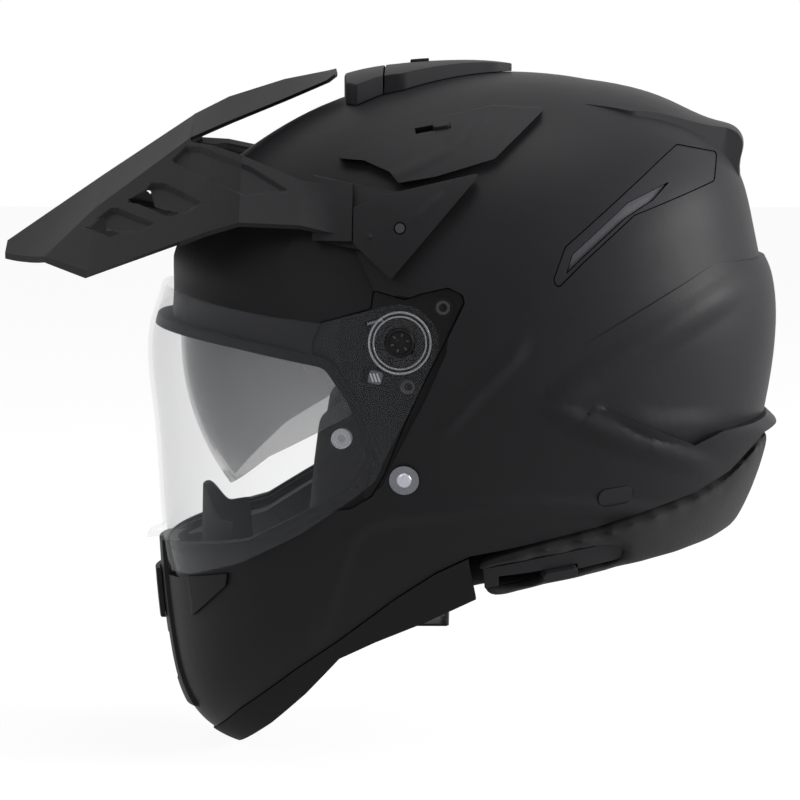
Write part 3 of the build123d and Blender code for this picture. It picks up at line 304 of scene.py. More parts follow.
# %% Knit lining and woven webbing
def knit(name, colour, pitch, depth, sheen, relief=0.55, gleam=0.5):
    """A knitted cloth whose loops are the given pitch apart."""
    finish = Finish(name)
    where = finish.place()
    parts = [
        finish.node("ShaderNodeSeparateXYZ", {}, {"Vector": where}, axis) for axis in ("X", "Y", "Z")
    ]
    turns = 2 * math.pi / pitch
    across = finish.node("ShaderNodeMath", {"operation": "SINE"}, {0: (parts[0] + parts[1]) * turns})
    along = finish.node("ShaderNodeMath", {"operation": "SINE"}, {0: (parts[2] + parts[1] * 0.3) * turns})
    loops = across * along
    fuzz = finish.noise(5200.0, 2.0)
    clouds = finish.noise(45.0, 3.0)
    height = loops * 0.6 + fuzz * 0.5
    base = finish.mix(clouds * 0.6 + fuzz * 0.4, grey(colour * 0.7), grey(colour * 1.4))
    return finish.surface(
        Base_Color=base,
        Roughness=0.92,
        Specular_IOR_Level=gleam,
        Sheen_Weight=sheen,
        Sheen_Roughness=0.45,
        Normal=finish.bump(height, relief, depth),
    )


lining_cloth = knit("lining_cloth", 0.030, 0.0016, 0.0005, 0.12)
neck_cloth = knit("neck_cloth", 0.010, 0.0012, 0.0003, 0.02, 0.2, gleam=0.3)
webbing_cloth = knit("webbing_cloth", 0.014, 0.0022, 0.0006, 0.08)
print("cloth finishes made")

# %% [markdown]
# Every CAD node gets its finish. The nodes that a softer Blender piece replaces later are
# given one too, so nothing is ever left with a plain colour.

# %% Give each CAD node its finish
node_finishes = {
    "outer_shell": shell_paint, "peak": trim_plastic, "peak_plate_left": shell_paint,
    "peak_plate_right": shell_paint, "peak_screws": screw_black, "visor_lens": clear_sheet,
    "insert_pins": clear_pin, "visor_ring_left": clear_ring,
    "visor_ring_right": clear_ring, "eyeport_gasket": seal_rubber,
    "visor_base_plate_left": mechanism_plastic, "visor_base_plate_right": mechanism_plastic,
    "base_plate_screws": screw_black, "pivot_hub_left": mechanism_plastic,
    "pivot_hub_right": mechanism_plastic, "visor_latch_left": latch_plastic,
    "visor_latch_right": latch_plastic, "visor_spring_left": steel_finish,
    "visor_spring_right": steel_finish, "sun_visor": smoked_sheet,
    "sun_visor_pins": mechanism_plastic, "eps_liner": foam_finish, "chin_eps": foam_finish,
    "crown_liner": lining_cloth, "cheek_pad_left": lining_cloth, "cheek_pad_right": lining_cloth,
    "neck_roll": neck_cloth, "rim_trim": seal_rubber, "lever_housing": trim_plastic,
    "sun_visor_slider": trim_plastic, "chin_vent_body": trim_plastic,
    "chin_vent_shutter": trim_plastic, "chin_lower_grille": trim_plastic,
    "chin_side_inlet_left": trim_plastic, "chin_side_inlet_right": trim_plastic,
    "breath_guard": seal_rubber, "chin_curtain": webbing_cloth, "top_vent_nose": trim_plastic,
    "top_vent_cover": trim_plastic, "top_vent_slider": trim_plastic,
    "side_vent_cover_left": trim_plastic, "side_vent_cover_right": trim_plastic,
    "side_vent_slider_left": trim_plastic, "side_vent_slider_right": trim_plastic,
    "rear_extractor_left": trim_plastic, "rear_extractor_right": trim_plastic,
    "extractor_panel_left": panel_plastic, "extractor_panel_right": panel_plastic,
    "side_plugs": trim_plastic, "strap_rivets": rivet_finish, "strap_left": webbing_cloth,
    "strap_right": webbing_cloth, "buckle_body": mechanism_plastic,
    "buckle_tongue": steel_finish, "buckle_lever": mechanism_plastic,
}
for name, node in nodes.items():
    if not node.material_slots:
        node.data.materials.append(node_finishes[name])
    for material_slot in node.material_slots:
        material_slot.material = node_finishes[name]
print("finished", len(node_finishes), "nodes")

# %% [markdown]
# A few helpers turn a bmesh into an object of the scene. A copy of a CAD node is loose
# triangles, so its corners are merged before anything else is done to it.

# %% Helpers for new pieces
def new_piece(name, mesh_source, finish, body, smooth=True):
    """Makes an object from a bmesh, gives it a finish, and lets it ride on a body."""
    mesh = bpy.data.meshes.new(name)
    mesh_source.normal_update()
    mesh_source.to_mesh(mesh)
    mesh_source.free()
    for face in mesh.polygons:
        face.use_smooth = smooth
    piece = bpy.data.objects.new(name, mesh)
    bpy.context.scene.collection.objects.link(piece)
    mesh.materials.append(finish)
    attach(piece, body)
    print(name, len(mesh.polygons), "faces")
    return piece


def merged_copy(node_name, near=0.02):
    """A bmesh copy of a CAD node, with its loose corners merged."""
    copy = bmesh.new()
    copy.from_mesh(nodes[node_name].data)
    bmesh.ops.remove_doubles(copy, verts=copy.verts, dist=near * MM)
    return copy


def apply_modifiers(piece):
    """Bakes a piece's modifiers into its mesh."""
    depsgraph = bpy.context.evaluated_depsgraph_get()
    baked = bpy.data.meshes.new_from_object(piece.evaluated_get(depsgraph))
    old = piece.data
    piece.modifiers.clear()
    piece.data = baked
    bpy.data.meshes.remove(old)
    return piece


# %% [markdown]
# Smooth shading blends the light from face to face. Real edges have to be marked sharp, or
# they look like soap. Where thin slivers meet large faces, weighted normals let the large
# ones decide, so no streaks run along an edge.

# %% Sharp edges and even shading
def mark_sharp(piece, angle):
    """Shades a piece smooth, save where two faces meet at more than an angle."""
    copy = bmesh.new()
    copy.from_mesh(piece.data)
    copy.normal_update()
    for edge in copy.edges:
        edge.smooth = edge.is_manifold and edge.calc_face_angle(0.0) < angle
    copy.to_mesh(piece.data)
    copy.free()


def even_shading(piece):
    """Lets the large faces set the shading, so slivers along an edge leave no streaks."""
    weighting = piece.modifiers.new("weighting", "WEIGHTED_NORMAL")
    weighting.keep_sharp = True
    weighting.weight = 100
    return apply_modifiers(piece)


# %% [markdown]
# The shell carries long character lines: a V on the side that opens to the back, a ridge
# that climbs from the cheek to the rear vent, and a scallop round the chin. They are soft
# folds in a moulded skin. The CAD skin is smooth there, so a merged copy of it is divided
# finely and its points are pushed in or out near each line, by a smooth hill or valley.

# %% Where the character lines run
character_lines = [
    # points as (back, up) in millimetres, half width of the fold, height of the fold
    ([(60, -25), (67, -29), (87, -16), (115, -1), (139, 13), (168, 28)], 10.0, 1.8),
    ([(60, -25), (67, -29), (90, -40), (119, -52), (154, -65)], 8.0, 1.9),
    ([(96, -33), (117, -40), (158, -42)], 10.0, -1.6),
    ([(15, -46), (36, -22), (51, -7), (60, 5)], 6.0, 1.6),
    ([(140, -80), (116, -81), (93, -78), (64, -76), (37, -76), (15, -78), (-4, -80), (-17, -84),
      (-24, -93), (-32, -117), (-42, -150)], 7.0, 1.8),
]
melted_lines = [
    # the paint also softens the shallow steps along these
    [(93, -26), (86, -32), (77, -44)],
    [(60, -25), (67, -29), (87, -16), (115, -1), (139, 13), (150, 18)],
    [(40, -43), (60, -25), (67, -29), (90, -40), (112, -50)],
]
print(len(character_lines), "character lines")

# %% [markdown]
# How far a point is pushed depends only on its place in the side view: its distance from
# the nearest line, eased to nothing at the fold's edge and at both ends of the line.

# %% How high a fold is at a place
def beside(line, back, up):
    """A place's distance from a chain of straight runs, the way along it, and its length."""
    nearest, way, length = 1000.0, 0.0, 0.0
    for (first_back, first_up), (last_back, last_up) in zip(line, line[1:]):
        run_back, run_up = last_back - first_back, last_up - first_up
        run = math.hypot(run_back, run_up)
        along = ((back - first_back) * run_back + (up - first_up) * run_up) / run**2
        along = max(0.0, min(1.0, along))
        gap = math.hypot(back - first_back - along * run_back, up - first_up - along * run_up)
        if gap < nearest:
            nearest, way = gap, length + along * run
        length += run
    return nearest, way, length


def distance_to(line, back, up):
    """How far a place in the side view is from a chain of straight runs."""
    return beside(line, back, up)[0]


def eased(share):
    """A share from 0 to 1 with a level start and end."""
    share = max(0.0, min(1.0, share))
    return share * share * (3.0 - 2.0 * share)


def fold_height(lines, back, up):
    """The highest hill and deepest valley at a place in the side view, in millimetres."""
    hill, valley = 0.0, 0.0
    for line, half_width, size in lines:
        gap, way, length = beside(line, back, up)
        if gap >= half_width:
            continue
        rise = size * eased(1.0 - gap / half_width)
        if length > half_width:
            rise *= eased(min(way, length - way) / min(2.5 * half_width, 0.4 * length))
        hill, valley = max(hill, rise), min(valley, rise)
    return hill + valley


# %% [markdown]
# Pressing works on points, so there must be enough of them. Only edges near a line are
# divided, which keeps the mesh small. Only faces that look outwards move, so the wall is
# a little thicker under a hill and nothing shows through inside.

# %% Pressing the folds into the shell
SIDE_FROM = 45.0
OUTWARD = 0.15


def divided(source, longest, rounds=4, chosen=None):
    """Divides every edge longer than a length, or the chosen ones, round after round."""
    for _ in range(rounds):
        long_edges = [
            edge for edge in source.edges
            if edge.calc_length() > longest * MM and (chosen is None or chosen(edge))
        ]
        if not long_edges:
            break
        bmesh.ops.subdivide_edges(source, edges=long_edges, cuts=1)
        bmesh.ops.triangulate(source, faces=[face for face in source.faces if len(face.verts) > 3])
    return source


def press_folds(source, lines, finest=1.6, inner=SIDE_FROM):
    """Presses folds into the outward faces of both sides of a piece."""
    def near_fold(edge):
        across, back, up = (edge.verts[0].co + edge.verts[1].co) / 2 / MM
        if abs(across) < inner or sum(v.normal.x for v in edge.verts) * across < 0.0:
            return False
        reach = edge.calc_length() / MM
        return any(distance_to(line, back, up) < half_width + reach for line, half_width, _ in lines)

    source.normal_update()
    divided(source, finest, 6, near_fold)
    source.normal_update()
    for vertex in source.verts:
        across, back, up = vertex.co / MM
        if abs(across) > inner and vertex.normal.x * across > OUTWARD * abs(across):
            grip = min(1.0, (abs(across) - inner) / 15.0)
            vertex.co.x += math.copysign(fold_height(lines, back, up) * grip * MM, across)
    return source


# %% [markdown]
# Paint fills the shallow corners of a step. A few rounds of smoothing on the points near
# such a step give the same look. Then the shell is put together from all of this.

# %% The folded shell
def melt(source, lines, reach, rounds):
    """Softens the outward faces near some lines, as paint does over a shallow step."""
    source.normal_update()
    near = []
    for vertex in source.verts:
        across, back, up = vertex.co / MM
        if abs(across) > SIDE_FROM and vertex.normal.x * across > -2.0 * OUTWARD * abs(across):
            if any(distance_to(line, back, up) < reach for line in lines):
                near.append(vertex)
    for _ in range(rounds):
        bmesh.ops.smooth_vert(
            source, verts=near, factor=0.5, use_axis_x=True, use_axis_y=True, use_axis_z=True
        )


def fold_shell():
    """The outer shell with its character lines pressed in."""
    source = press_folds(merged_copy("outer_shell"), character_lines)
    melt(source, melted_lines, 4.0, 8)
    shell = new_piece("formed_shell", source, shell_paint, "helmet")
    mark_sharp(shell, 0.5)
    even_shading(shell)
    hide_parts("outer_shell")


fold_shell()

# %% [markdown]
# The pads are foam under cloth. A cloth simulation with a little pressure inside rounds a
# pad the way a stretched cover does. Its mesh is first rebuilt as even squares, and how
# far any point may move is capped, so the pad still fits against the foam behind it.

# %% Padding with a cloth simulation
def puffed(node_name, name, finish, body, voxel, cap, pressure, frames=18):
    """A padded piece made from a CAD node's shape, rounded by a cloth simulation."""
    source = merged_copy(node_name)
    piece = new_piece(name, source, finish, body)
    remesh = piece.modifiers.new("remesh", "REMESH")
    remesh.mode = "VOXEL"
    remesh.voxel_size = voxel * MM
    apply_modifiers(piece)
    shrunk = bmesh.new()
    shrunk.from_mesh(piece.data)
    shrunk.normal_update()
    for _ in range(8):
        bmesh.ops.smooth_vert(
            shrunk, verts=shrunk.verts, factor=0.5, use_axis_x=True, use_axis_y=True, use_axis_z=True
        )
    for vertex in shrunk.verts:
        vertex.co -= vertex.normal * (0.35 * cap * MM)
    shrunk.to_mesh(piece.data)
    shrunk.free()
    start = [vertex.co.copy() for vertex in piece.data.vertices]
    cloth = piece.modifiers.new("cloth", "CLOTH")
    settings = cloth.settings
    settings.quality = 5
    settings.mass = 0.15
    settings.use_pressure = True
    settings.uniform_pressure_force = pressure
    settings.effector_weights.gravity = 0.0
    cloth.point_cache.frame_end = frames
    for step in range(1, frames + 1):
        bpy.context.scene.frame_set(step)
    apply_modifiers(piece)
    bpy.context.scene.frame_set(1)
    for vertex, rest in zip(piece.data.vertices, start):
        move = vertex.co - rest
        if move.length > cap * MM:
            vertex.co = rest + move.normalized() * (cap * MM)
    for face in piece.data.polygons:
        face.use_smooth = True
    if not piece.data.materials:
        piece.data.materials.append(finish)
    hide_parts(node_name)
    return piece


puffed("cheek_pad_left", "cheek_cushion_left", lining_cloth, "helmet", 3.0, 2.5, 3.0)
puffed("cheek_pad_right", "cheek_cushion_right", lining_cloth, "helmet", 3.0, 2.5, 3.0)
puffed("crown_liner", "crown_cushion", lining_cloth, "helmet", 4.0, 1.5, 2.0)
puffed("neck_roll", "neck_cushion", neck_cloth, "helmet", 3.5, 1.5, 2.0)

# %% [markdown]
# Between the cheek pads and the neck roll, a soft roll of the same cloth closes the gap
# along the rim on each side.

# %% The rim roll
def apply_curve(piece):
    """Turns a curve object into a mesh object of the same name."""
    depsgraph = bpy.context.evaluated_depsgraph_get()
    mesh = bpy.data.meshes.new_from_object(piece.evaluated_get(depsgraph))
    name = piece.name
    bpy.data.objects.remove(piece)
    made = bpy.data.objects.new(name, mesh)
    bpy.context.scene.collection.objects.link(made)
    return made


def rim_roll(side_name, side):
    """A soft tube along the rim, from the cheek pad to the neck roll."""
    curve = bpy.data.curves.new(f"rim_roll_{side_name}", "CURVE")
    curve.dimensions = "3D"
    curve.bevel_depth = 7.5 * MM
    curve.bevel_resolution = 6
    curve.resolution_u = 10
    curve.use_fill_caps = True
    path = [
        (72, -16, -128), (78, 4, -118), (83, 22, -112),
        (87, 42, -107), (86, 62, -104), (80, 80, -101),
    ]
    spline = curve.splines.new("NURBS")
    spline.points.add(len(path) - 1)
    spline.order_u = 4
    spline.use_endpoint_u = True
    for number, (point, (across, back, up)) in enumerate(zip(spline.points, path)):
        point.co = (side * across * MM, back * MM, up * MM, 1)
        point.radius = 0.55 if number in (0, len(path) - 1) else 1.0
    roll = bpy.data.objects.new(f"rim_roll_{side_name}", curve)
    bpy.context.scene.collection.objects.link(roll)
    curve.materials.append(neck_cloth)
    roll = apply_curve(roll)
    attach(roll, "helmet")
    print(roll.name, len(roll.data.polygons), "faces")


for side_name, side in (("left", 1), ("right", -1)):
    rim_roll(side_name, side)

# %% [markdown]
# The straps are flat webbing. The CAD band has the right path, so a merged copy of it gets
# rounded edges with the bevel operator and the webbing finish. The same helper rounds the
# small mouldings further on.

# %% Straps
def soft_edged(node_name, name, finish, body, width, folds=(), angle=0.6):
    """A copy of a CAD node with its sharp edges rounded over and any folds pressed in."""
    source = merged_copy(node_name)
    bmesh.ops.dissolve_limit(source, angle_limit=0.012, verts=source.verts, edges=source.edges)
    sharp = [
        edge for edge in source.edges
        if len(edge.link_faces) == 2 and edge.calc_face_angle(0.0) > angle
    ]
    bmesh.ops.bevel(
        source, geom=sharp, offset=width * MM, offset_type="OFFSET", segments=2,
        profile=0.5, affect="EDGES", clamp_overlap=True, material=-1,
    )
    bmesh.ops.triangulate(source, faces=source.faces)
    if folds:
        press_folds(source, folds, 1.2, 30.0)
    piece = new_piece(name, source, finish, body)
    mark_sharp(piece, 0.7)
    even_shading(piece)
    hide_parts(node_name)
    return piece


for side in ("left", "right"):
    soft_edged(f"strap_{side}", f"strap_webbing_{side}", webbing_cloth, "helmet", 0.8)

# %% [markdown]
# The peak is one moulding. Each side panel has three wedge-shaped pockets, and the lower
# two are pierced at the back. The pockets are pressed into a finely divided copy of the
# CAD peak, so the wall keeps its thickness, and its edges are rounded as a mould leaves
# them.

# %% The peak with its pockets
peak_pockets = [
    # outline as (back, up), then how deep the pocket is
    ([(-103, 87), (-95, 87), (-70, 79), (-51, 68), (-72, 66), (-110, 80)], 2.2),
    ([(-121, 67), (-119, 70), (-112, 70), (-92, 62), (-101, 57), (-130, 61)], 3.0),
    ([(-142, 55), (-138, 58), (-134, 58), (-115, 52), (-122, 48), (-149, 49)], 3.0),
]


def inside(outline, back, up):
    """True where a place in the side view lies within a closed outline."""
    within = False
    for (back_a, up_a), (back_b, up_b) in zip(outline, outline[1:] + outline[:1]):
        if (up_a > up) != (up_b > up):
            crossing = back_a + (up - up_a) / (up_b - up_a) * (back_b - back_a)
            if back < crossing:
                within = not within
    return within


def pocket_depth(back, up):
    """How deep the pockets are at a place in the side view, in millimetres."""
    for outline, depth in peak_pockets:
        if inside(outline, back, up):
            front = min(point[0] for point in outline)
            rear = max(point[0] for point in outline)
            wedge = 0.45 + 0.55 * (rear - back) / (rear - front)
            return depth * wedge * min(1.0, distance_to(outline + outline[:1], back, up) / 1.2)
    return 0.0


# %% [markdown]
# The pockets go in along one slanted direction, square to the side panels, so their walls
# stay clean on both sides of the peak.

# %% Pressing the pockets
PANEL_FROM = 26.0
PANEL_END = -45.0


def formed_peak():
    """The peak with pockets pressed into its side panels."""
    def near_pocket(edge):
        across, back, up = (edge.verts[0].co + edge.verts[1].co) / 2 / MM
        if abs(across) < PANEL_FROM or back > PANEL_END:
            return False
        reach = edge.calc_length() / MM
        return any(
            inside(outline, back, up) or distance_to(outline + outline[:1], back, up) < reach
            for outline, _ in peak_pockets
        )

    source = divided(divided(merged_copy("peak"), 8.0, 4), 1.1, 6, near_pocket)
    press = Vector((0.62, 0.0, 0.78))
    for vertex in source.verts:
        across, back, up = vertex.co / MM
        if abs(across) > PANEL_FROM and back < PANEL_END:
            push = pocket_depth(back, up) * MM
            vertex.co -= Vector((math.copysign(press.x, across), 0.0, press.z)) * push
    sharp = [
        edge for edge in source.edges
        if len(edge.link_faces) == 2 and edge.calc_face_angle(0.0) > 0.95
    ]
    bmesh.ops.bevel(
        source, geom=sharp, offset=0.5 * MM, offset_type="OFFSET", segments=2,
        profile=0.5, affect="EDGES", clamp_overlap=True, material=-1,
    )
    piece = new_piece("formed_peak", source, trim_plastic, "peak")
    mark_sharp(piece, 0.35)
    even_shading(piece)
    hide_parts("peak")


formed_peak()

# %% [markdown]
# Small mouldings never have knife edges. Rounding them by half a millimetre gives each one
# the thin bright line that such edges catch. Two kinds of cover also carry folds of their
# own, written as the shell's lines are.

# %% Rounded edges on the small mouldings
rounded_nodes = {
    # how wide each node's edges are rounded, in millimetres
    "peak_plate_left": 0.7, "peak_plate_right": 0.7, "top_vent_nose": 0.8, "top_vent_cover": 0.8,
    "top_vent_slider": 0.5, "side_vent_cover_left": 0.7, "side_vent_cover_right": 0.7,
    "side_vent_slider_left": 0.5, "side_vent_slider_right": 0.5, "chin_vent_body": 0.7,
    "chin_vent_shutter": 0.7, "chin_lower_grille": 0.3, "rear_extractor_left": 0.4,
    "rear_extractor_right": 0.4, "extractor_panel_left": 0.4, "extractor_panel_right": 0.4,
    "lever_housing": 0.5, "sun_visor_slider": 0.5, "strap_rivets": 0.6, "side_plugs": 0.3,
    "chin_side_inlet_left": 0.4, "chin_side_inlet_right": 0.4, "buckle_body": 0.4,
    "buckle_lever": 0.4, "buckle_tongue": 0.3, "peak_screws": 0.4, "base_plate_screws": 0.3,
    "visor_lens": 0.5, "insert_pins": 0.4, "sun_visor": 0.4,
}
moulding_folds = {
    "peak_plate": [([(4, 53), (21, 69)], 3.0, 0.5), ([(-14, 48), (-13.4, 48)], 1.2, -0.8)],
    "side_vent_cover": [
        ([(28, 88), (42, 104)], 3.0, 0.5), ([(46, 74), (66, 97)], 3.5, 0.6),
        ([(-26, 66), (8, 80), (22, 87), (34, 103)], 4.0, 0.5),
    ],
}
for name, width in rounded_nodes.items():
    folds = moulding_folds.get(name.replace("_left", "").replace("_right", ""), ())
    body = nodes[name]["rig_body"]
    soft_edged(name, f"{name}_moulded", node_finishes[name], body, width, folds)
print("rounded", len(rounded_nodes), "mouldings")

# %% [markdown]
# The breath guard stands tall over the nose and falls away to a low wall on each side,
# so its CAD band is squeezed down towards its foot, more the further back it is.

# %% Breath guard
guard_low, guard_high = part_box("breath_guard")
guard = divided(merged_copy("breath_guard"), 3.0, 5)
for vertex in guard.verts:
    behind = max(0.0, (vertex.co.y - guard_low.y) / MM - 1.0)
    lost = 2.5 + 13.0 * eased(behind / 11.0)
    share = (vertex.co.z - guard_low.z) / (guard_high.z - guard_low.z)
    vertex.co.z -= share * lost * MM
guard_piece = new_piece("breath_guard_formed", guard, seal_rubber, "helmet")
mark_sharp(guard_piece, 0.6)
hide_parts("breath_guard")

# %% [markdown]
# The chin curtain is one thin sheet of stretched cloth under the chin bar. The CAD sheet
# already has its shape, so a copy of it is enough.

# %% The chin curtain
curtain = new_piece(
    "chin_curtain_cloth", merged_copy("chin_curtain"), webbing_cloth, "helmet"
)
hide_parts("chin_curtain")

# %% [markdown]
# The visor's latches are sprung by short coils. A spring is one wire wound in a helix, so
# it is a curve with a round bevel, laid out between the ends of the CAD rod.

# %% Coil springs
def end_middle(points, middle, reach):
    """The middle of the points past a level on one side of a rod's middle."""
    past = [point for point in points if (point.y - middle.y) / reach > 1.0]
    return sum(past, Vector()) / max(1, len(past))


def coil(node_name, name, body, turns=7, wire=0.28, turn_points=12):
    """A helix of round wire that fills the length of a CAD rod."""
    low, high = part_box(node_name)
    points = [vertex.co for vertex in nodes[node_name].data.vertices]
    middle = (low + high) / 2
    far_end = max(points, key=lambda point: (point - middle).length)
    reach = 0.38 * (high.y - low.y)
    way = (end_middle(points, middle, reach) - end_middle(points, middle, -reach)).normalized()
    side_way = way.cross(Vector((1, 0, 0))).normalized()
    up_way = way.cross(side_way)
    radius = 0.95 * MM - wire * MM
    length = (far_end - middle).length * 1.7
    curve = bpy.data.curves.new(name, "CURVE")
    curve.dimensions = "3D"
    curve.bevel_depth = wire * MM
    curve.bevel_resolution = 3
    curve.use_fill_caps = True
    steps = turns * turn_points
    spline = curve.splines.new("POLY")
    spline.points.add(steps)
    for number, point in enumerate(spline.points):
        angle = number / turn_points * 2 * math.pi
        along = (number / steps - 0.5) * length
        out_way = side_way * math.cos(angle) + up_way * math.sin(angle)
        point.co = (*(middle + way * along + out_way * radius), 1)
    wound = bpy.data.objects.new(name, curve)
    bpy.context.scene.collection.objects.link(wound)
    curve.materials.append(steel_finish)
    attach(wound, body)
    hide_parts(node_name)
    print(name, "wound", round(length / MM, 1), "mm long")


for side in ("left", "right"):
    coil(f"visor_spring_{side}", f"visor_coil_{side}", "helmet")

# %% [markdown]
# Round the pivot the clear visor has a ring with two bright raised beads, and in its
# middle sits the dark hub with six shallow marks. A bead is a small circle spun round the
# pivot's axis; the hub is a profile spun the same way, with squashed spheres for the marks.

# %% Round pieces from a profile
def spun(name, profile, finish, body, side, steps=64):
    """A round piece: a profile of (across, radius) spun about the pivot's level axis."""
    shape = bmesh.new()
    corners = [
        shape.verts.new((side * across * MM, radius * MM, 0.0)) for across, radius in profile
    ]
    edges = [shape.edges.new(pair) for pair in zip(corners, corners[1:])]
    bmesh.ops.spin(
        shape, geom=corners + edges, cent=(0, 0, 0), axis=(1, 0, 0), angle=2 * math.pi,
        steps=steps, use_merge=True, dvec=(0, 0, 0),
    )
    bmesh.ops.remove_doubles(shape, verts=shape.verts, dist=0.002 * MM)
    bmesh.ops.recalc_face_normals(shape, faces=shape.faces)
    piece = new_piece(name, shape, finish, body)
    mark_sharp(piece, 0.9)
    return piece


def bead(middle_across, middle_radius, size, points=10):
    """The closed round profile of a raised bead."""
    turns = [number / points * 2 * math.pi for number in range(points + 1)]
    return [
        (middle_across + size * math.cos(turn), middle_radius + size * math.sin(turn))
        for turn in turns
    ]


# %% [markdown]
# The beads and the hub take their places from the CAD ring and the CAD hub, so they stay on
# them if those change.

# %% A ring, a hub and its marks on each side
for side_name, side in (("left", 1), ("right", -1)):
    ring_low, ring_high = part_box(f"visor_ring_{side_name}")
    face_across = max(abs(ring_low.x), abs(ring_high.x)) / MM
    for place_name, radius, size in (("outer", 14.0, 0.45), ("inner", 12.0, 0.35)):
        profile = bead(face_across, radius, size)
        name = f"ring_bead_{place_name}_{side_name}"
        spun(name, profile, clear_pin, "visor", side)
    hub_low, hub_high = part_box(f"pivot_hub_{side_name}")
    top = max(abs(hub_low.x), abs(hub_high.x)) / MM
    foot = min(abs(hub_low.x), abs(hub_high.x)) / MM
    hub_profile = [
        (foot, 0.0), (foot, 6.7), (top - 0.9, 6.7), (top - 0.3, 6.5), (top, 6.0), (top, 5.5),
        (top - 0.7, 5.1), (top - 0.8, 2.2), (top - 0.3, 1.7), (top - 0.2, 0.0),
    ]
    name = f"hub_face_{side_name}"
    hub = spun(name, hub_profile, mechanism_plastic, "helmet", side)
    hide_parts(f"pivot_hub_{side_name}")
    marks = bmesh.new()
    for number in range(6):
        angle = math.radians(60 * number + 15)
        place = Vector((side * (top - 0.75), 3.7 * math.cos(angle), 3.7 * math.sin(angle))) * MM
        turn = Matrix.Rotation(angle, 4, "X")
        squash = Matrix.Diagonal((0.55, 1.0, 0.55, 1.0))
        bmesh.ops.create_uvsphere(
            marks, u_segments=12, v_segments=8, radius=0.95 * MM,
            matrix=Matrix.Translation(place) @ turn @ squash,
        )
    new_piece(f"hub_marks_{side_name}", marks, screw_black, "helmet")

# %% [markdown]
# Screws, rivets and latches sit on slanted walls. Their details are drawn about the x axis
# and then stood on the CAD part's outer face, whose middle and direction are measured.

# %% Where the small heads sit
def facing(node_name, side):
    """The middle and the outward direction of a node's outer face on one side."""
    mesh = nodes[node_name].data
    faces = [face for face in mesh.polygons if face.center.x * side > 0.0]
    farthest = max(face.center.x * side for face in faces)
    outer = [
        face for face in faces
        if face.normal.x * side > 0.7 and face.center.x * side > farthest - 4.0 * MM
    ]
    whole = sum(face.area for face in outer)
    middle = sum((face.center * face.area for face in outer), Vector()) / whole
    way = sum((face.normal * face.area for face in outer), Vector()).normalized()
    return middle, way


def on_face(shape, middle, way):
    """Turns a shape drawn about the x axis so that it stands on a face."""
    turn = Vector((1, 0, 0)).rotation_difference(way).to_matrix().to_4x4()
    bmesh.ops.transform(shape, matrix=Matrix.Translation(middle) @ turn, verts=shape.verts)


def heads(node_name):
    """The middle and direction of every screw head in a node, from its outermost faces."""
    found = []
    for face in nodes[node_name].data.polygons:
        side = math.copysign(1.0, face.center.x)
        if face.normal.x * side < 0.7:
            continue
        for row in found:
            if (row[0] - face.center).length < 8.0 * MM:
                if face.center.x * side > row[0].x * side + 0.3 * MM:
                    row[:] = [face.center.copy(), face.normal.copy(), []]
                row[2].append(face)
                break
        else:
            found.append([face.center.copy(), face.normal.copy(), [face]])
    places = []
    for _, way, faces in found:
        whole = sum(face.area for face in faces)
        places.append((sum((face.center * face.area for face in faces), Vector()) / whole, way))
    return places


# %% [markdown]
# Each screw of the base plate has a raised ring with a six-sided socket in it. They lie so
# shallow that two thin cones, one round and one of six sides, are enough.

# %% Screw sockets
sockets = bmesh.new()
for middle, way in heads("base_plate_screws"):
    for radius, height, sides in ((1.9, 0.10, 40), (1.35, 0.16, 6)):
        cap = bmesh.new()
        bmesh.ops.create_cone(
            cap, cap_ends=True, segments=sides, radius1=radius * MM, radius2=radius * MM * 0.94,
            depth=height * MM, matrix=Matrix.Rotation(math.radians(90), 4, "Y"),
        )
        on_face(cap, middle + way * 0.5 * height * MM, way)
        part = bpy.data.meshes.new("socket")
        cap.to_mesh(part)
        cap.free()
        sockets.from_mesh(part)
        bpy.data.meshes.remove(part)
new_piece("screw_sockets", sockets, mechanism_plastic, "helmet")

# %% [markdown]
# The strap is held by a steel rivet: a flat washer with a domed head. The latch beside the
# pivot has three slanted pale bars to grip it by.

# %% Rivet heads and latch bars
for side_name, side in (("left", 1), ("right", -1)):
    middle, way = facing("strap_rivets", side)
    dome = bmesh.new()
    bmesh.ops.create_uvsphere(
        dome, u_segments=32, v_segments=16, radius=3.6 * MM,
        matrix=Matrix.Diagonal((0.42, 1.0, 1.0, 1.0)),
    )
    on_face(dome, middle - way * 0.2 * MM, way)
    new_piece(f"rivet_dome_{side_name}", dome, steel_finish, "helmet")
    middle, way = facing(f"visor_latch_{side_name}", side)
    bars = bmesh.new()
    for number in (-1, 0, 1):
        bmesh.ops.create_cube(
            bars, size=1.0,
            matrix=Matrix.Translation((0.0, 1.55 * number * MM, 0.0))
            @ Matrix.Rotation(math.radians(20), 4, "X")
            @ Matrix.Diagonal((0.7 * MM, 0.75 * MM, 4.2 * MM, 1.0)),
        )
    bmesh.ops.bevel(
        bars, geom=bars.edges, offset=0.2 * MM, offset_type="OFFSET", segments=2,
        profile=0.5, affect="EDGES", clamp_overlap=True, material=-1,
    )
    on_face(bars, middle, way)
    new_piece(f"latch_bars_{side_name}", bars, bar_plastic, f"latch_{side_name}")

# %% [markdown]
# The floor is white to the camera, to reflections and through the visor, and a plain pale
# surface to all other light, so the black helmet keeps its soft shading and its shadow.

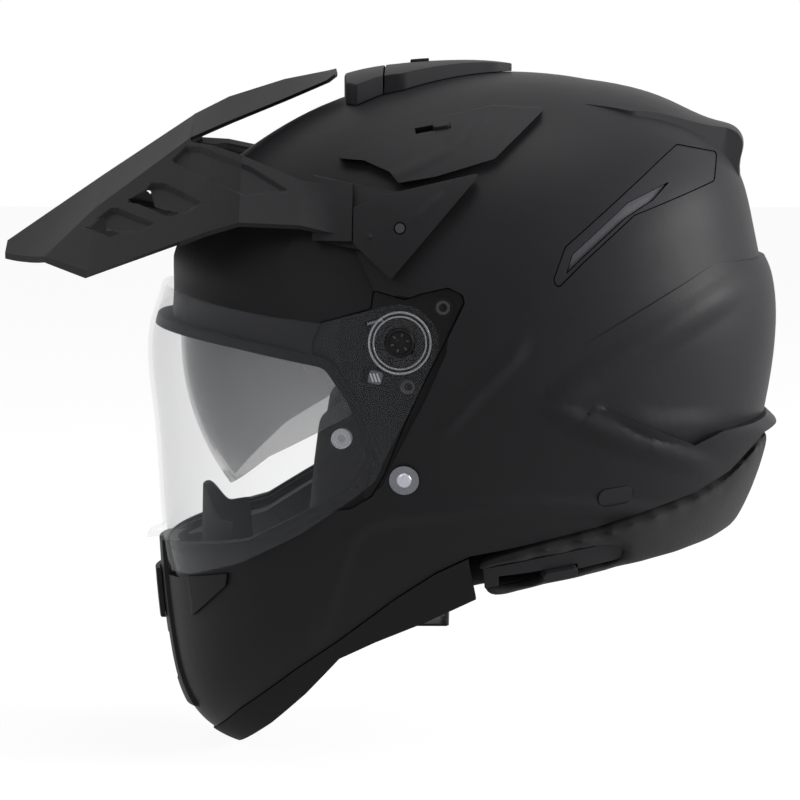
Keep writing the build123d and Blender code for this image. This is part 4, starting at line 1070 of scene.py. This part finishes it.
# %% The floor
floor_finish = Finish("floor_pale")
camera_ray = floor_finish.node("ShaderNodeLightPath", out="Is Camera Ray")
glossy_ray = floor_finish.node("ShaderNodeLightPath", out="Is Glossy Ray")
clear_ray = floor_finish.node("ShaderNodeLightPath", out="Is Transmission Ray")
seen = floor_finish.node(
    "ShaderNodeMath", {"operation": "MINIMUM"}, {0: camera_ray + glossy_ray + clear_ray, 1: 1.0}
)
pale = floor_finish.node("ShaderNodeBsdfDiffuse", {}, {"Color": grey(0.80)})
glow = floor_finish.node("ShaderNodeEmission", {}, {"Color": grey(1.0), "Strength": 1.06})
blend = floor_finish.node("ShaderNodeMixShader", {}, {0: seen * 0.88, 1: pale, 2: glow})
floor_finish.join(floor_finish.output.inputs["Surface"], blend)
ground = bmesh.new()
bmesh.ops.create_grid(ground, x_segments=1, y_segments=1, size=6.0)
bmesh.ops.translate(ground, verts=ground.verts, vec=(0, 0, cad_low.z - 0.0005))
floor_mesh = bpy.data.meshes.new("floor")
ground.to_mesh(floor_mesh)
ground.free()
floor = bpy.data.objects.new("floor", floor_mesh)
bpy.context.scene.collection.objects.link(floor)
floor_mesh.materials.append(floor_finish.material)
print("floor at", round(cad_low.z / MM, 1), "mm")

# %% [markdown]
# The world is made the same way: full white where it is looked at, and dim as a light.

# %% The world
DIM, WHITE = 0.20, 1.0
world = bpy.data.worlds.new("studio")
bpy.context.scene.world = world
world.use_nodes = True
world.node_tree.nodes.clear()
world_output = world.node_tree.nodes.new("ShaderNodeOutputWorld")
background = world.node_tree.nodes.new("ShaderNodeBackground")
paths = world.node_tree.nodes.new("ShaderNodeLightPath")
strength = world.node_tree.nodes.new("ShaderNodeMapRange")
strength.inputs["To Min"].default_value = DIM
strength.inputs["To Max"].default_value = WHITE
white_rays = paths.outputs["Is Camera Ray"]
for ray in ("Is Glossy Ray", "Is Transmission Ray"):
    larger = world.node_tree.nodes.new("ShaderNodeMath")
    larger.operation = "MAXIMUM"
    world.node_tree.links.new(white_rays, larger.inputs[0])
    world.node_tree.links.new(paths.outputs[ray], larger.inputs[1])
    white_rays = larger.outputs[0]
world.node_tree.links.new(white_rays, strength.inputs["Value"])
world.node_tree.links.new(strength.outputs["Result"], background.inputs["Strength"])
background.inputs["Color"].default_value = grey(1.0)
world.node_tree.links.new(background.outputs[0], world_output.inputs["Surface"])
print("world light", DIM)

# %% [markdown]
# Three large soft lamps: one overhead, a strong one behind that lights the rear curve as
# in the photo, and a faint one in front of the near side.

# %% The lamps
def lamp(name, place, target, size, power):
    """A square soft light that faces a point."""
    data = bpy.data.lights.new(name, "AREA")
    data.size = size
    data.energy = power
    holder = bpy.data.objects.new(name, data)
    holder.location = place
    holder.rotation_mode = "QUATERNION"
    holder.rotation_quaternion = (Vector(target) - Vector(place)).to_track_quat("-Z", "Y")
    bpy.context.scene.collection.objects.link(holder)
    print("lamp", name, power, "watts")


lamp("top", (0.1, 0.0, 1.8), (0, 0, 0), 1.2, 22.0)
lamp("back", (0.2, 2.0, 0.6), (0, 0, 0), 1.0, 75.0)
lamp("fill", (1.3, -1.1, 0.9), (0, 0, 0), 0.8, 4.0)

# %% [markdown]
# The camera looks straight at the helmet's left side, a little from above, through a long
# lens. The angle, distance and framing come from the places of known points in the photo.

# %% The camera
azimuth, elevation, distance = math.radians(91.0), math.radians(5.5), 1.8
backward = Vector((
    math.sin(azimuth) * math.cos(elevation),
    -math.cos(azimuth) * math.cos(elevation),
    math.sin(elevation),
))
rightward = (-backward).cross(Vector((0, 0, 1))).normalized()
upward = rightward.cross(-backward)
aim = rightward * -0.002059 + upward * -0.037755
camera_data = bpy.data.cameras.new("camera")
camera_data.sensor_width = 36.0
camera_data.lens = 166.05
camera = bpy.data.objects.new("camera", camera_data)
camera.rotation_mode = "QUATERNION"
camera.location = aim + backward * distance
camera.rotation_quaternion = (-backward).to_track_quat("-Z", "Y")
bpy.context.scene.collection.objects.link(camera)
bpy.context.scene.camera = camera
bpy.context.scene.view_settings.view_transform = "Standard"
print("camera at", [round(value, 2) for value in camera.location])
